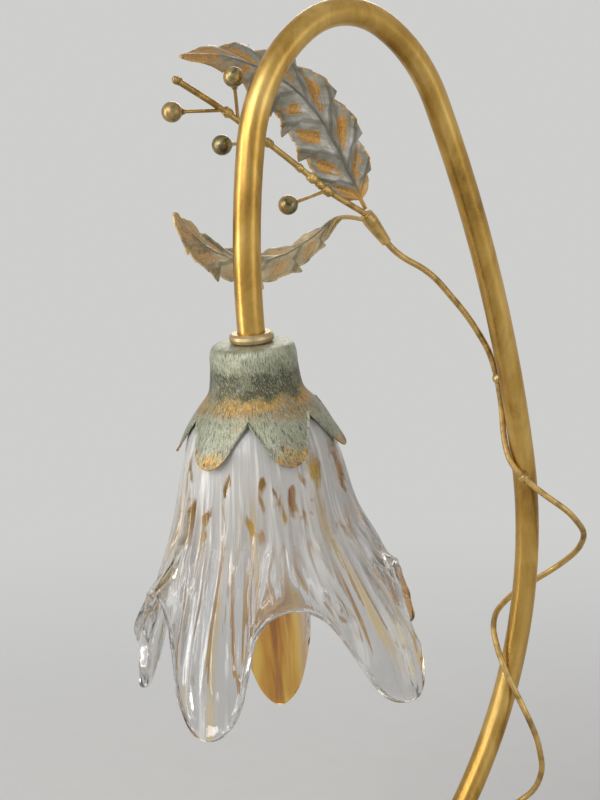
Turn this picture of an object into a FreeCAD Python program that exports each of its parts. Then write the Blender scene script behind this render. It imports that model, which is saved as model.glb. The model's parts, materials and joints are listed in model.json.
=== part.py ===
import FreeCAD, Part
import math
import os
import re
import Sketcher
from FreeCAD import Placement, Rotation, Vector

# Table lamp with a bent tube stem, a hanging glass flower under a metal calyx, and a wire
# tendril with two leaves and four berries. Millimetres, +Z up. The stem lies in the XZ plane,
# the flower hangs on the -X side, and the origin is on the table under the middle of the base.

os.makedirs("parts", exist_ok=True)
doc = FreeCAD.newDocument("TulipLamp")

# ---------------------------------------------------------------- driving dimensions
SIZES = (
    ("seat_gap", 0.2, "gap left between pieces that sit on each other"),
    ("thread_gap", 0.05, "radial gap between a thread and its nut"),
    ("running_gap", 0.3, "gap round pieces that turn or slide"),
    # base
    ("base_radius", 85, "outside of the base cover"),
    ("base_height", 34, "table to the top face of the base cover"),
    ("base_rim", 15, "height of the upright rim of the cover"),
    ("base_crown_radius", 19, "flat top of the cover under the collar"),
    ("cover_wall", 1.2, "sheet thickness of the base cover"),
    ("felt_thickness", 2, "felt under the base"),
    ("felt_inset", 3, "felt edge inside the rim"),
    ("recess_radius", 38, "hollow under the weight for the wiring"),
    ("recess_height", 20, "table to the roof of that hollow"),
    ("channel_gap", 1, "cord channel in the weight, clear of the inlet bush"),
    ("collar_radius", 15.5, "turned collar at the foot of the stem"),
    ("collar_height", 10, "height of that collar"),
    ("inlet_height", 8.5, "height of the cord inlet's axis"),
    ("inlet_bore", 6.6, "hole for the mains cord"),
    ("bush_radius", 5, "shank of the inlet bush"),
    ("bush_flange", 6.4, "flange radius of the inlet bush"),
    ("bush_flange_thickness", 1.6, "flange thickness of the inlet bush"),
    ("bush_length", 9, "shank length of the inlet bush"),
    # stem
    ("tube_outer", 14, "outside diameter of the stem tube"),
    ("tube_wall", 1.2, "wall of the stem tube"),
    ("rod_thread", 10, "threaded rod at both ends of the tube"),
    ("rod_bore", 6.4, "cable hole through the rods"),
    ("rod_plug", 15, "length of rod brazed into the tube"),
    ("foot_rod_drop", 21.5, "foot rod below the cover's top"),
    ("foot_straight", 10, "upright stretch above the base"),
    ("foot_bend_radius", 63, "first bend, away from the flower"),
    ("foot_bend_turn", 44.2, "angle of the first bend"),
    ("belly_radius", 263, "long lower curve"),
    ("belly_turn", 56.2, "angle of the lower curve"),
    ("back_radius", 805, "nearly straight upper back"),
    ("back_turn", 15.9, "angle of the upper back"),
    ("shoulder_radius", 90.7, "curve into the arch"),
    ("shoulder_turn", 34.4, "angle of that curve"),
    ("crown_radius", 50.1, "top of the arch"),
    ("crown_turn", 62.7, "angle of the top of the arch"),
    ("brow_radius", 78.9, "curve out of the arch"),
    ("brow_turn", 48.2, "angle of that curve"),
    ("limb_radius", 418, "limb that hangs down to the flower"),
    ("limb_turn", 12.3, "angle of the limb"),
    ("limb_straight", 9.5, "straight end of the limb above the flower"),
    # inner cable and terminals
    ("cable_diameter", 4.6, "sheathed cable inside the stem"),
    ("cable_bend", 6.5, "bend radius of the cable below the foot rod"),
    ("block_length", 20, "porcelain terminal block"),
    ("block_width", 17, "porcelain terminal block"),
    ("block_offset", 11.5, "stem axis to the near face of the block"),
    ("screw_radius", 1.5, "terminal screws"),
    ("earth_screw_radius", 2, "earth screw"),
    # head of the lamp, depths measured down from the top of the calyx
    ("neck_ring_radius", 11.4, "bead round the lower end of the tube"),
    ("neck_ring_height", 5, "height of the bead"),
    ("calyx_wall", 0.8, "sheet of the calyx"),
    ("calyx_shoulder", 21.6, "radius of the cup just below its top"),
    ("calyx_waist", 23.4, "radius of the cup above the sepals"),
    ("calyx_cup_depth", 28, "depth where the sepals begin to flare"),
    ("sepal_count", 6, "sepals round the calyx"),
    ("sepal_first_angle", 15, "angle of one sepal from +X"),
    ("sepal_notch_depth", 33.5, "depth of the notches between sepals"),
    ("sepal_notch_radius", 31.2, "radius of the notches between sepals"),
    ("sepal_tip_depth", 55, "depth of the sepal tips"),
    ("sepal_tip_radius", 43.8, "radius of the sepal tips"),
    ("nut_height", 4, "hexagon nut in the calyx"),
    ("nut_across", 14, "across the flats of that nut"),
    ("holder_cap_radius", 13.2, "cap of the lampholder"),
    ("holder_cap_depth", 12, "height of the cap"),
    ("holder_wall", 1.4, "wall of the lampholder"),
    ("holder_radius", 14, "threaded skirt of the lampholder"),
    ("holder_skirt", 30, "height of the skirt"),
    ("holder_flange_radius", 18, "flange that the shade hangs from"),
    ("holder_flange_drop", 8.4, "top of the skirt to the flange"),
    ("holder_flange_thickness", 2, "flange thickness"),
    ("washer_thickness", 1, "fibre washer between flange and glass"),
    ("shade_ring_radius", 19.2, "ring that clamps the glass"),
    ("shade_ring_height", 6.5, "height of that ring"),
    ("finger_notch_width", 1.8, "notches round the ring's rim"),
    ("finger_notch_count", 12, "notches round the ring's rim"),
    ("socket_floor", 4.5, "porcelain above the bulb's contact"),
    ("bulb_cap_radius", 6.8, "screw cap of the bulb"),
    ("bulb_cap_length", 21, "length of the screw cap"),
    ("bulb_radius", 22.5, "opal ball of the bulb"),
    ("bulb_neck_radius", 9.5, "neck of the ball above the cap"),
    ("bulb_length", 52, "ball and neck below the cap"),
    ("bulb_wall", 1, "wall of the opal ball"),
    # glass flower
    ("glass_wall", 3.2, "wall of the blown glass"),
    ("glass_tip_wall", 5, "glass drawn thicker at the petal tips"),
    ("glass_collar", 22, "flat collar that the ring clamps"),
    ("glass_shoulder", 36, "radius below the collar"),
    ("glass_shoulder_depth", 13, "collar to that radius"),
    ("glass_waist", 42, "radius of the bell"),
    ("glass_waist_depth", 40, "collar to the bell's radius"),
    ("glass_skirt", 46, "radius where the petals part"),
    ("glass_skirt_depth", 62, "collar to where the petals part"),
    ("glass_fold", 1.3, "height of the drawn folds"),
    ("glass_notch_depth", 90, "collar to the notches between petals"),
    ("glass_notch_radius", 61, "radius of the notches"),
    # sprig
    ("wire_diameter", 3.6, "branch and tendril wire"),
    ("sprig_height", 372, "length along the stem to where the branch is brazed on"),
    ("sheath_radius", 4.2, "bound end of the branch"),
    ("sheath_cap", 3.5, "closed end of the sheath"),
    ("branch_straight", 9.5, "straight wire below the sheath"),
    ("twig_diameter", 3.3, "berry twig"),
    ("berry_radius", 5.2, "berries"),
    ("stalk_diameter", 1.8, "berry stalks"),
    ("leaf_thickness", 0.9, "leaf sheet"),
    ("upper_leaf_width", 40, "widest part of the upper leaf"),
    ("lower_leaf_width", 25, "widest part of the lower leaf"),
)

# petals of the glass flower: angle from +X, tip depth below the collar, tip radius
PETALS = (
    ("front", -160, 156, 76),
    ("right", -77, 142, 93),
    ("side", -19, 134, 80),
    ("rear", 55, 196, 62),
    ("left", 134, 156, 80),
)

sheet = doc.addObject("Spreadsheet::Sheet", "Sizes")
aliases = set()


def keep_size(alias, value, note):
    """Writes one driving dimension into the next row of the sheet."""
    row = len(aliases) + 1
    sheet.set("A%d" % row, alias)
    sheet.set("B%d" % row, str(value))
    sheet.set("C%d" % row, note)
    sheet.setAlias("B%d" % row, alias)
    aliases.add(alias)


for entry in SIZES:
    keep_size(*entry)
for name, angle, depth, reach in PETALS:
    keep_size(name + "_petal_angle", angle, "angle of the petal from +X")
    keep_size(name + "_petal_depth", depth, "collar to the tip of the petal")
    keep_size(name + "_petal_reach", reach, "radius of the tip of the petal")
doc.recompute()


def size(expression):
    """Value of an expression in the sheet's aliases."""
    return float(sheet.evalExpression(expression))


def bound(expression):
    """The same expression, as another object of the document writes it."""
    def with_sheet(word):
        return ("Sizes." if word.group() in aliases else "") + word.group()

    return re.sub(r"[a-z_]+", with_sheet, expression)


# ---------------------------------------------------------------- building helpers
nodes = []


def keep(piece):
    nodes.append(piece)
    return piece


def origin_plane(body, role):
    return next(plane for plane in body.Origin.OriginFeatures if plane.Role == role)


def origin_axis(body, role):
    return next(axis for axis in body.Origin.OriginFeatures if axis.Role == role)


def pin(sketch, geometry, point, x, y):
    """Ties one point of a sketch to two expressions of the sheet."""
    for kind, expression in (("DistanceX", x), ("DistanceY", y)):
        index = sketch.addConstraint(Sketcher.Constraint(kind, geometry, point, size(expression)))
        sketch.setExpression("Constraints[%d]" % index, bound(expression))


def outline_sketch(body, name, role, corners, circles=()):
    """Closed outline of straight sides, plus round holes, every point tied to the sheet.

    A corner is a pair of expressions. A circle is a triple: centre and radius."""
    sketch = body.newObject("Sketcher::SketchObject", name)
    sketch.AttachmentSupport = (origin_plane(body, role), "")
    sketch.MapMode = "FlatFace"
    spots = [Vector(size(x), size(y), 0) for x, y in corners]
    count = len(spots)
    for i in range(count):
        sketch.addGeometry(Part.LineSegment(spots[i], spots[(i + 1) % count]), False)
    for i in range(count):
        sketch.addConstraint(Sketcher.Constraint("Coincident", i, 2, (i + 1) % count, 1))
    for i, (x, y) in enumerate(corners):
        pin(sketch, i, 1, x, y)
    for x, y, radius in circles:
        centre = Vector(size(x), size(y), 0)
        ring = sketch.addGeometry(Part.Circle(centre, Vector(0, 0, 1), size(radius)), False)
        pin(sketch, ring, 3, x, y)
        index = sketch.addConstraint(Sketcher.Constraint("Radius", ring, size(radius)))
        sketch.setExpression("Constraints[%d]" % index, bound(radius))
    return sketch


def turned(label, corners, place=None):
    """A lathe-turned piece: the outline spun about the Z axis."""
    body = doc.addObject("PartDesign::Body", label)
    body.Label = label
    profile = outline_sketch(body, label + "_profile", "XZ_Plane", corners)
    turn = body.newObject("PartDesign::Revolution", label + "_turn")
    turn.Profile = profile
    turn.ReferenceAxis = (profile, ["V_Axis"])
    turn.Angle = 360
    if place:
        body.Placement = place
    return keep(body)


def plate(label, corners, circles, bottom, thickness, place=None):
    """A flat piece: the outline padded upwards from the height called bottom."""
    body = doc.addObject("PartDesign::Body", label)
    body.Label = label
    outline = outline_sketch(body, label + "_outline", "XY_Plane", corners, circles)
    outline.AttachmentOffset = Placement(Vector(0, 0, size(bottom)), Rotation())
    outline.setExpression("AttachmentOffset.Base.z", bound(bottom))
    pad = body.newObject("PartDesign::Pad", label + "_pad")
    pad.Profile = outline
    pad.Length = size(thickness)
    pad.setExpression("Length", bound(thickness))
    if place:
        body.Placement = place
    return keep(body)


def cut_into(body, name, role, corners, circles, start, length, forward=True):
    """Pocket from a plane moved by start along its normal; forward cuts along the normal."""
    outline = outline_sketch(body, name + "_outline", role, corners, circles)
    outline.AttachmentOffset = Placement(Vector(0, 0, size(start)), Rotation())
    outline.setExpression("AttachmentOffset.Base.z", bound(start))
    doc.recompute()
    before = body.Shape.Volume
    pocket = body.newObject("PartDesign::Pocket", name)
    pocket.Profile = outline
    pocket.Type = "Length"
    pocket.Length = size(length)
    pocket.setExpression("Length", bound(length))
    pocket.Reversed = forward
    doc.recompute()
    if body.Shape.Volume > before - 0.01:
        raise RuntimeError(name + " cuts nothing")
    return pocket


def shaped(label, shape, place=None):
    """A piece whose solid is worked out from the sheet by Part's own functions."""
    piece = doc.addObject("Part::Feature", label)
    piece.Label = label
    piece.Shape = shape
    if place:
        piece.Placement = place
    return keep(piece)


def hexagon(across):
    """Corners of a hexagon, as expressions of its width across the flats."""
    corners = []
    for step in range(6):
        turn = math.radians(60 * step + 30)
        corners.append(("%s * %.8f" % (across, math.cos(turn) / math.sqrt(3)),
                        "%s * %.8f" % (across, math.sin(turn) / math.sqrt(3))))
    return corners


def polar(radius, degrees, height=0.0):
    return Vector(radius * math.cos(math.radians(degrees)), radius * math.sin(math.radians(degrees)), height)


def smooth(value):
    """0 below 0, 1 above 1, and an even rise between."""
    value = min(max(value, 0.0), 1.0)
    return value * value * (3 - 2 * value)


# ---------------------------------------------------------------- the stem's centreline
STEM_RUNS = (
    # straight length or radius, turn (none for a straight run)
    ("foot_straight", "0"),
    ("foot_bend_radius", "-foot_bend_turn"),
    ("belly_radius", "belly_turn"),
    ("back_radius", "back_turn"),
    ("shoulder_radius", "shoulder_turn"),
    ("crown_radius", "crown_turn"),
    ("brow_radius", "brow_turn"),
    ("limb_radius", "limb_turn"),
    ("limb_straight", "0"),
)


def ahead(heading, length=1.0):
    """Step in the XZ plane; the heading is counted from +X towards +Z."""
    return Vector(length * math.cos(math.radians(heading)), 0, length * math.sin(math.radians(heading)))


def run_length(reach, turn):
    return math.radians(abs(turn)) * reach if turn else reach


def travel(start, heading, reach, turn, distance):
    """Point and heading after going a distance along one run."""
    if not turn:
        return start + ahead(heading, distance), heading
    side = 90 if turn > 0 else -90
    centre = start + ahead(heading + side, reach)
    turned_by = math.degrees(distance / reach) * (1 if turn > 0 else -1)
    return centre + ahead(heading - side + turned_by, reach), heading + turned_by


def chain(start, heading, runs):
    """Edges of tangent runs in the XZ plane, and the point and heading at their end."""
    edges = []
    for reach, turn in runs:
        length = run_length(reach, turn)
        middle, _ = travel(start, heading, reach, turn, length / 2)
        end, end_heading = travel(start, heading, reach, turn, length)
        edges.append((Part.Arc(start, middle, end) if turn else Part.LineSegment(start, end)).toShape())
        start, heading = end, end_heading
    return edges, start, heading


stem_start = Vector(0, 0, size("base_height + seat_gap"))
stem_runs = [(size(reach), size(turn)) for reach, turn in STEM_RUNS]
stem_edges, stem_end, end_heading = chain(stem_start, 90, stem_runs)
head_tilt = end_heading - 270
print("stem length %.1f, flower leans %.1f degrees" % (Part.Wire(stem_edges).Length, head_tilt))


def beside_stem(along, distance=0.0, angle=0.0):
    """Point near the stem: length along it, distance from its middle, and angle round it.

    Angle 0 is on the right of someone climbing the stem as seen from -Y, angle 90 is behind."""
    here, heading, left = stem_start, 90, along
    for reach, turn in stem_runs:
        length = run_length(reach, turn)
        if left <= length:
            break
        here, heading = travel(here, heading, reach, turn, length)
        left -= length
    here, heading = travel(here, heading, reach, turn, left)
    outward = ahead(heading - 90, distance * math.cos(math.radians(angle)))
    return here + outward + Vector(0, distance * math.sin(math.radians(angle)), 0)


# the head is modelled upright under its own origin, on top of the calyx, and then tilted
head_top = stem_end + ahead(end_heading, size("seat_gap"))
HEAD = Placement(head_top, Rotation(Vector(0, 1, 0), -head_tilt))


def round_bar(edges, diameter):
    """Solid round bar along tangent edges."""
    path = Part.Wire(edges)
    start = path.OrderedEdges[0]
    first = start.FirstParameter
    section = Part.Circle(start.valueAt(first), start.tangentAt(first), diameter / 2).toShape()
    bar = path.makePipeShell([Part.Wire(section)], True, False)
    expected = math.pi * diameter ** 2 / 4 * path.Length
    if abs(bar.Volume / expected - 1) > 0.02:
        raise RuntimeError("bar of %.1f mm has %.3f of its volume" % (diameter, bar.Volume / expected))
    return bar


def rounded(points, name):
    """Straight runs through the points, joined by the largest tangent arcs that they leave room for."""
    edges, radii = [], []
    start = points[0]
    for before, corner, after in zip(points, points[1:], points[2:]):
        back, on = before - corner, after - corner
        reach = 0.45 * min(back.Length, on.Length)
        half = back.getAngle(on) / 2
        back.normalize()
        on.normalize()
        radius = reach * math.tan(half)
        inward = (back + on).normalize()
        middle = corner + inward * (radius / math.sin(half) - radius)
        edges.append(Part.LineSegment(start, corner + back * reach).toShape())
        edges.append(Part.Arc(corner + back * reach, middle, corner + on * reach).toShape())
        start = corner + on * reach
        radii.append(radius)
    edges.append(Part.LineSegment(start, points[-1]).toShape())
    print("%s: bend radii from %.1f mm" % (name, min(radii)))
    return edges


# ---------------------------------------------------------------- base
def base_cover():
    """Spun brass shell: upright rim, hollow-curved slope, flat crown for the collar."""
    slope = (
        ("base_radius - 1.2", "base_rim + 0.8"),
        ("base_radius - 4", "base_rim + 1.4"),
        ("base_radius - 10", "base_rim + 2.0"),
        ("base_radius * 0.66", "base_rim + (base_height - base_rim) * 0.30"),
        ("base_radius * 0.47", "base_rim + (base_height - base_rim) * 0.55"),
        ("base_crown_radius + 8", "base_height - 3.6"),
        ("base_crown_radius + 3.5", "base_height - 1.0"),
        ("base_crown_radius", "base_height"),
    )
    under = [("%s - cover_wall * 0.35" % r, "%s - cover_wall" % z) for r, z in slope[2:]]
    rod_hole = "rod_thread / 2 + seat_gap"
    corners = [(rod_hole, "base_height - cover_wall"), (rod_hole, "base_height"), *reversed(slope)]
    inside, foot = "base_radius - cover_wall", "felt_thickness / 2"
    corners += [("base_radius", "base_rim"), ("base_radius", foot)]
    corners += [(inside, foot), (inside, "base_rim - 0.6")]
    corners += [(inside + " - 2.6", "base_rim + 1.4 - cover_wall")]
    corners += under
    cover = turned("base_cover", corners)
    doc.recompute()
    cut_into(cover, "inlet_hole", "YZ_Plane", (), [("0", "inlet_height", "bush_radius + seat_gap")],
             "base_radius / 2", "base_radius")


def base_weight():
    """Cast iron disc that follows the cover's slope, hollow underneath for the wiring."""
    top = (
        ("base_radius - cover_wall - 2", "base_rim - 1.6"),
        ("base_radius * 0.66 - cover_wall", "base_rim + (base_height - base_rim) * 0.30 - cover_wall - 1.6"),
        ("base_radius * 0.47 - cover_wall", "base_rim + (base_height - base_rim) * 0.55 - cover_wall - 1.6"),
        ("base_crown_radius + 2", "base_height - cover_wall - 5"),
        ("base_crown_radius - 3", "base_height - cover_wall - seat_gap"),
    )
    rod_hole = "rod_thread / 2 + seat_gap"
    corners = [(rod_hole, "base_height - cover_wall - seat_gap"), *reversed(top)]
    corners += [("base_radius - cover_wall - 2", "felt_thickness + seat_gap")]
    corners += [("recess_radius", "felt_thickness + seat_gap"), ("recess_radius", "recess_height")]
    corners += [(rod_hole, "recess_height")]
    weight = turned("base_weight", corners)
    doc.recompute()
    half, roof = "(bush_radius + channel_gap)", "inlet_height + bush_radius + channel_gap"
    channel = [("-" + half, "0"), (half, "0"), (half, roof), ("-" + half, roof)]
    cut_into(weight, "cord_channel", "YZ_Plane", channel, (), "recess_radius / 2", "base_radius")
    screw_holes = [("block_offset + block_length / 2", "0", "screw_radius + thread_gap"),
                   ("-recess_radius / 2", "0", "earth_screw_radius + thread_gap")]
    cut_into(weight, "screw_holes", "XY_Plane", (), screw_holes, "recess_height - 2", "6")


base_cover()
base_weight()
plate("base_felt", (), [("0", "0", "base_radius - felt_inset")], "0", "felt_thickness")
turned("base_collar", [
    ("tube_outer / 2 + seat_gap", "base_height + seat_gap"),
    ("collar_radius", "base_height + seat_gap"),
    ("collar_radius + 0.6", "base_height + collar_height * 0.12"),
    ("collar_radius", "base_height + collar_height * 0.25"),
    ("collar_radius - 2.2", "base_height + collar_height * 0.38"),
    ("tube_outer / 2 + 3.6", "base_height + collar_height * 0.62"),
    ("tube_outer / 2 + 2.8", "base_height + collar_height * 0.8"),
    ("tube_outer / 2 + 2.2", "base_height + collar_height * 0.95"),
    ("tube_outer / 2 + 1.2", "base_height + collar_height"),
    ("tube_outer / 2 + seat_gap", "base_height + collar_height"),
])
turned("foot_rod", [
    ("rod_bore / 2", "base_height - foot_rod_drop"),
    ("rod_thread / 2 - thread_gap", "base_height - foot_rod_drop"),
    ("rod_thread / 2 - thread_gap", "base_height + 2 * seat_gap"),
    ("tube_outer / 2 - tube_wall - thread_gap", "base_height + 2 * seat_gap"),
    ("tube_outer / 2 - tube_wall - thread_gap", "base_height + foot_straight - 1"),
    ("rod_bore / 2", "base_height + foot_straight - 1"),
])
turned("foot_washer", [
    ("rod_thread / 2 + thread_gap", "recess_height - seat_gap - 1.5"),
    ("rod_thread + 1", "recess_height - seat_gap - 1.5"),
    ("rod_thread + 1", "recess_height - seat_gap"),
    ("rod_thread / 2 + thread_gap", "recess_height - seat_gap"),
])
plate("foot_nut", hexagon("nut_across"), [("0", "0", "rod_thread / 2 + thread_gap")],
      "recess_height - seat_gap * 2 - 1.5 - nut_height", "nut_height")


def inlet_bush():
    """Flanged bush in the rim; modelled along Z and laid on its side."""
    spot = Vector(size("base_radius + seat_gap"), 0, size("inlet_height"))
    turned("inlet_bush", [
        ("inlet_bore / 2", "-bush_length"),
        ("bush_radius", "-bush_length"),
        ("bush_radius", "0"),
        ("bush_flange", "0"),
        ("bush_flange", "bush_flange_thickness * 0.6"),
        ("bush_flange - 0.8", "bush_flange_thickness"),
        ("inlet_bore / 2", "bush_flange_thickness"),
    ], Placement(spot, Rotation(Vector(0, 1, 0), 90)))


def terminal_block():
    """Two-pole porcelain block with a screw through its middle and four terminal screws."""
    near, far = "block_offset", "block_offset + block_length"
    side = "block_width / 2"
    middle = "block_offset + block_length / 2"
    corners = [(near, "-" + side), (far, "-" + side), (far, side), (near, side)]
    bottom = "felt_thickness + seat_gap"
    block = plate("terminal_block", corners, [(middle, "0", "screw_radius + thread_gap")],
                  bottom, "recess_height - felt_thickness - 2 * seat_gap")
    doc.recompute()
    height = "felt_thickness + cable_bend"
    for name, start, length in (("cable_hole", near + " - 1", "5"), ("cord_hole", far + " - 4", "5")):
        cut_into(block, name, "YZ_Plane", (), [("0", height, "cable_diameter / 2 + seat_gap")], start, length)
    spots = [("block_offset + block_length * %s" % x, "block_width * %s" % y) for x in ("0.25", "0.75")
             for y in ("-0.36", "0.36")]
    holes = [(x, y, "screw_radius + thread_gap") for x, y in spots]
    cut_into(block, "screw_holes_below", "XY_Plane", (), holes, "0", "felt_thickness + 6")
    lowest = size(bottom) + 0.4
    screws = [Part.makeCylinder(size("screw_radius"), 5, Vector(size(x), size(y), lowest)) for x, y in spots]
    driver = Part.makeBox(size("screw_radius") * 2, 0.6, 1)
    for i, (x, y) in enumerate(spots):
        slot = driver.copy()
        slot.translate(Vector(size(x) - size("screw_radius"), size(y) - 0.3, lowest - 0.3))
        screws[i] = screws[i].cut(slot)
    shaped("terminal_screws", Part.makeCompound(screws))
    long_screw = Part.makeCylinder(size("screw_radius"), size("recess_height") + 3 - lowest,
                                   Vector(size(middle), 0, lowest))
    shaped("block_screw", long_screw)


def earth_screw():
    """Slotted screw with its washer, up into the roof of the hollow."""
    radius, roof = size("earth_screw_radius"), size("recess_height")
    head = Part.makeCylinder(radius * 2, 2.2, Vector(0, 0, roof - 3.4))
    washer = Part.makeCylinder(radius * 2.4, 1, Vector(0, 0, roof - 1.2))
    shank = Part.makeCylinder(radius, 5, Vector(0, 0, roof - 1.4))
    slot = Part.makeBox(radius * 5, 0.9, 1)
    slot.translate(Vector(-radius * 2.5, -0.45, roof - 3.5))
    screw = head.fuse([washer, shank]).cut(slot).removeSplitter()
    screw.translate(Vector(-size("recess_radius") / 2, 0, 0))
    shaped("earth_screw", screw)


inlet_bush()
terminal_block()
earth_screw()

# ---------------------------------------------------------------- stem
outer_bar = round_bar(stem_edges, size("tube_outer"))
bore_bar = round_bar(stem_edges, size("tube_outer - 2 * tube_wall"))
shaped("stem_tube", outer_bar.cut(bore_bar))


def inner_cable():
    """Cable from the terminal block, up through the foot rod and the stem, into the lampholder."""
    bend = size("cable_bend")
    low = size("felt_thickness") + bend
    start = Vector(size("block_offset") + 3.8, 0, low)
    runs = [(start.x - bend, 0), (bend, -90), (stem_start.z - low - bend, 0)]
    runs += stem_runs
    runs += [(size("rod_plug"), 0)]
    edges, _, _ = chain(start, 180, runs)
    shaped("inner_cable", round_bar(edges, size("cable_diameter")))


inner_cable()

# ---------------------------------------------------------------- head: fixing and lampholder
# depths in these outlines are negative heights below the top of the calyx
turned("neck_ring", [
    ("tube_outer / 2 + seat_gap", "seat_gap"),
    ("neck_ring_radius - 1.2", "seat_gap"),
    ("neck_ring_radius - 0.3", "neck_ring_height * 0.2"),
    ("neck_ring_radius", "neck_ring_height * 0.5"),
    ("neck_ring_radius - 0.3", "neck_ring_height * 0.8"),
    ("neck_ring_radius - 1.4", "neck_ring_height"),
    ("tube_outer / 2 + seat_gap", "neck_ring_height"),
], HEAD)
turned("head_rod", [
    ("rod_bore / 2", "-calyx_wall - nut_height - 9"),
    ("rod_thread / 2 - thread_gap", "-calyx_wall - nut_height - 9"),
    ("rod_thread / 2 - thread_gap", "2 * seat_gap"),
    ("tube_outer / 2 - tube_wall - thread_gap", "2 * seat_gap"),
    ("tube_outer / 2 - tube_wall - thread_gap", "rod_plug"),
    ("rod_bore / 2", "rod_plug"),
], HEAD)
plate("calyx_nut", hexagon("nut_across"), [("0", "0", "rod_thread / 2 + thread_gap")],
      "-calyx_wall - seat_gap - nut_height", "nut_height", HEAD)

CAP_TOP = "-calyx_wall - nut_height - 2 * seat_gap"
turned("holder_cap", [
    ("rod_thread / 2 + thread_gap", CAP_TOP),
    ("holder_cap_radius - 4.5", CAP_TOP),
    ("holder_cap_radius - 1.5", CAP_TOP + " - 1.2"),
    ("holder_cap_radius", CAP_TOP + " - 4"),
    ("holder_cap_radius", CAP_TOP + " - holder_cap_depth"),
    ("holder_cap_radius - holder_wall", CAP_TOP + " - holder_cap_depth"),
    ("holder_cap_radius - holder_wall", CAP_TOP + " - 5"),
    ("rod_thread / 2 + 2", CAP_TOP + " - 3"),
    ("rod_thread / 2 + 2", CAP_TOP + " - 6"),
    ("rod_thread / 2 + thread_gap", CAP_TOP + " - 6"),
], HEAD)
SKIRT_TOP = CAP_TOP + " - holder_cap_depth - seat_gap"
FLANGE_TOP = SKIRT_TOP + " - holder_flange_drop"
FLANGE_FOOT = FLANGE_TOP + " - holder_flange_thickness"
turned("holder_skirt", [
    ("holder_radius - holder_wall", SKIRT_TOP),
    ("holder_radius", SKIRT_TOP),
    ("holder_radius", FLANGE_TOP),
    ("holder_flange_radius", FLANGE_TOP),
    ("holder_flange_radius", FLANGE_FOOT),
    ("holder_radius", FLANGE_FOOT),
    ("holder_radius", SKIRT_TOP + " - holder_skirt"),
    ("holder_radius - holder_wall", SKIRT_TOP + " - holder_skirt"),
], HEAD)
INSERT_RADIUS = "holder_radius - holder_wall - seat_gap"
SOCKET_RADIUS = "bulb_cap_radius + running_gap + 0.6 + seat_gap"
SOCKET_ROOF = SKIRT_TOP + " - 1 - socket_floor"
turned("holder_insert", [
    ("0", SKIRT_TOP + " - 1"),
    (INSERT_RADIUS, SKIRT_TOP + " - 1"),
    (INSERT_RADIUS, SKIRT_TOP + " - holder_skirt + 1"),
    (SOCKET_RADIUS, SKIRT_TOP + " - holder_skirt + 1"),
    (SOCKET_RADIUS, SOCKET_ROOF),
    ("0", SOCKET_ROOF),
], HEAD)
turned("thread_shell", [
    ("bulb_cap_radius + running_gap", SOCKET_ROOF + " - 3"),
    ("bulb_cap_radius + running_gap + 0.6", SOCKET_ROOF + " - 3"),
    ("bulb_cap_radius + running_gap + 0.6", SKIRT_TOP + " - holder_skirt + 1.5"),
    ("bulb_cap_radius + running_gap", SKIRT_TOP + " - holder_skirt + 1.5"),
], HEAD)
CONTACT_FOOT = SOCKET_ROOF + " - seat_gap - 1.2"
turned("centre_contact", [
    ("0", CONTACT_FOOT),
    ("2", CONTACT_FOOT),
    ("3.4", SOCKET_ROOF + " - seat_gap - 0.5"),
    ("3.4", SOCKET_ROOF + " - seat_gap"),
    ("0", SOCKET_ROOF + " - seat_gap"),
], HEAD)
WASHER_TOP = FLANGE_FOOT + " - seat_gap"
turned("shade_washer", [
    ("holder_radius + seat_gap", WASHER_TOP),
    ("holder_flange_radius", WASHER_TOP),
    ("holder_flange_radius", WASHER_TOP + " - washer_thickness"),
    ("holder_radius + seat_gap", WASHER_TOP + " - washer_thickness"),
], HEAD)
GLASS_TOP = WASHER_TOP + " - washer_thickness - seat_gap"
RING_TOP = GLASS_TOP + " - glass_wall - running_gap"


def shade_ring():
    """Threaded ring under the glass, with finger ribs round its rim."""
    ring = turned("shade_ring", [
        ("holder_radius + running_gap", RING_TOP),
        ("shade_ring_radius", RING_TOP),
        ("shade_ring_radius", RING_TOP + " - 1.5"),
        ("shade_ring_radius - 1.6", RING_TOP + " - 2.2"),
        ("shade_ring_radius - 1.6", RING_TOP + " - shade_ring_height"),
        ("holder_radius + running_gap", RING_TOP + " - shade_ring_height"),
    ], HEAD)
    doc.recompute()
    deep, clear, half = "shade_ring_radius - 2.4", "shade_ring_radius + 1", "finger_notch_width / 2"
    grip = [(deep, "-" + half), (clear, "-" + half), (clear, half), (deep, half)]
    notch = cut_into(ring, "finger_notch", "XY_Plane", grip, (), RING_TOP + " - shade_ring_height - 1",
                     "shade_ring_height + 2")
    ribs = ring.newObject("PartDesign::PolarPattern", "finger_notches")
    ribs.Originals = [notch]
    ribs.Axis = (origin_axis(ring, "Z_Axis"), [""])
    ribs.Angle = 360
    ribs.Occurrences = int(size("finger_notch_count"))
    ribs.setExpression("Occurrences", bound("finger_notch_count"))
    ring.Tip = ribs


shade_ring()

# ---------------------------------------------------------------- bulb
BULB_TOP = CONTACT_FOOT + " - running_gap"
CAP_FOOT = BULB_TOP + " - 2.4 - bulb_cap_length"


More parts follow.
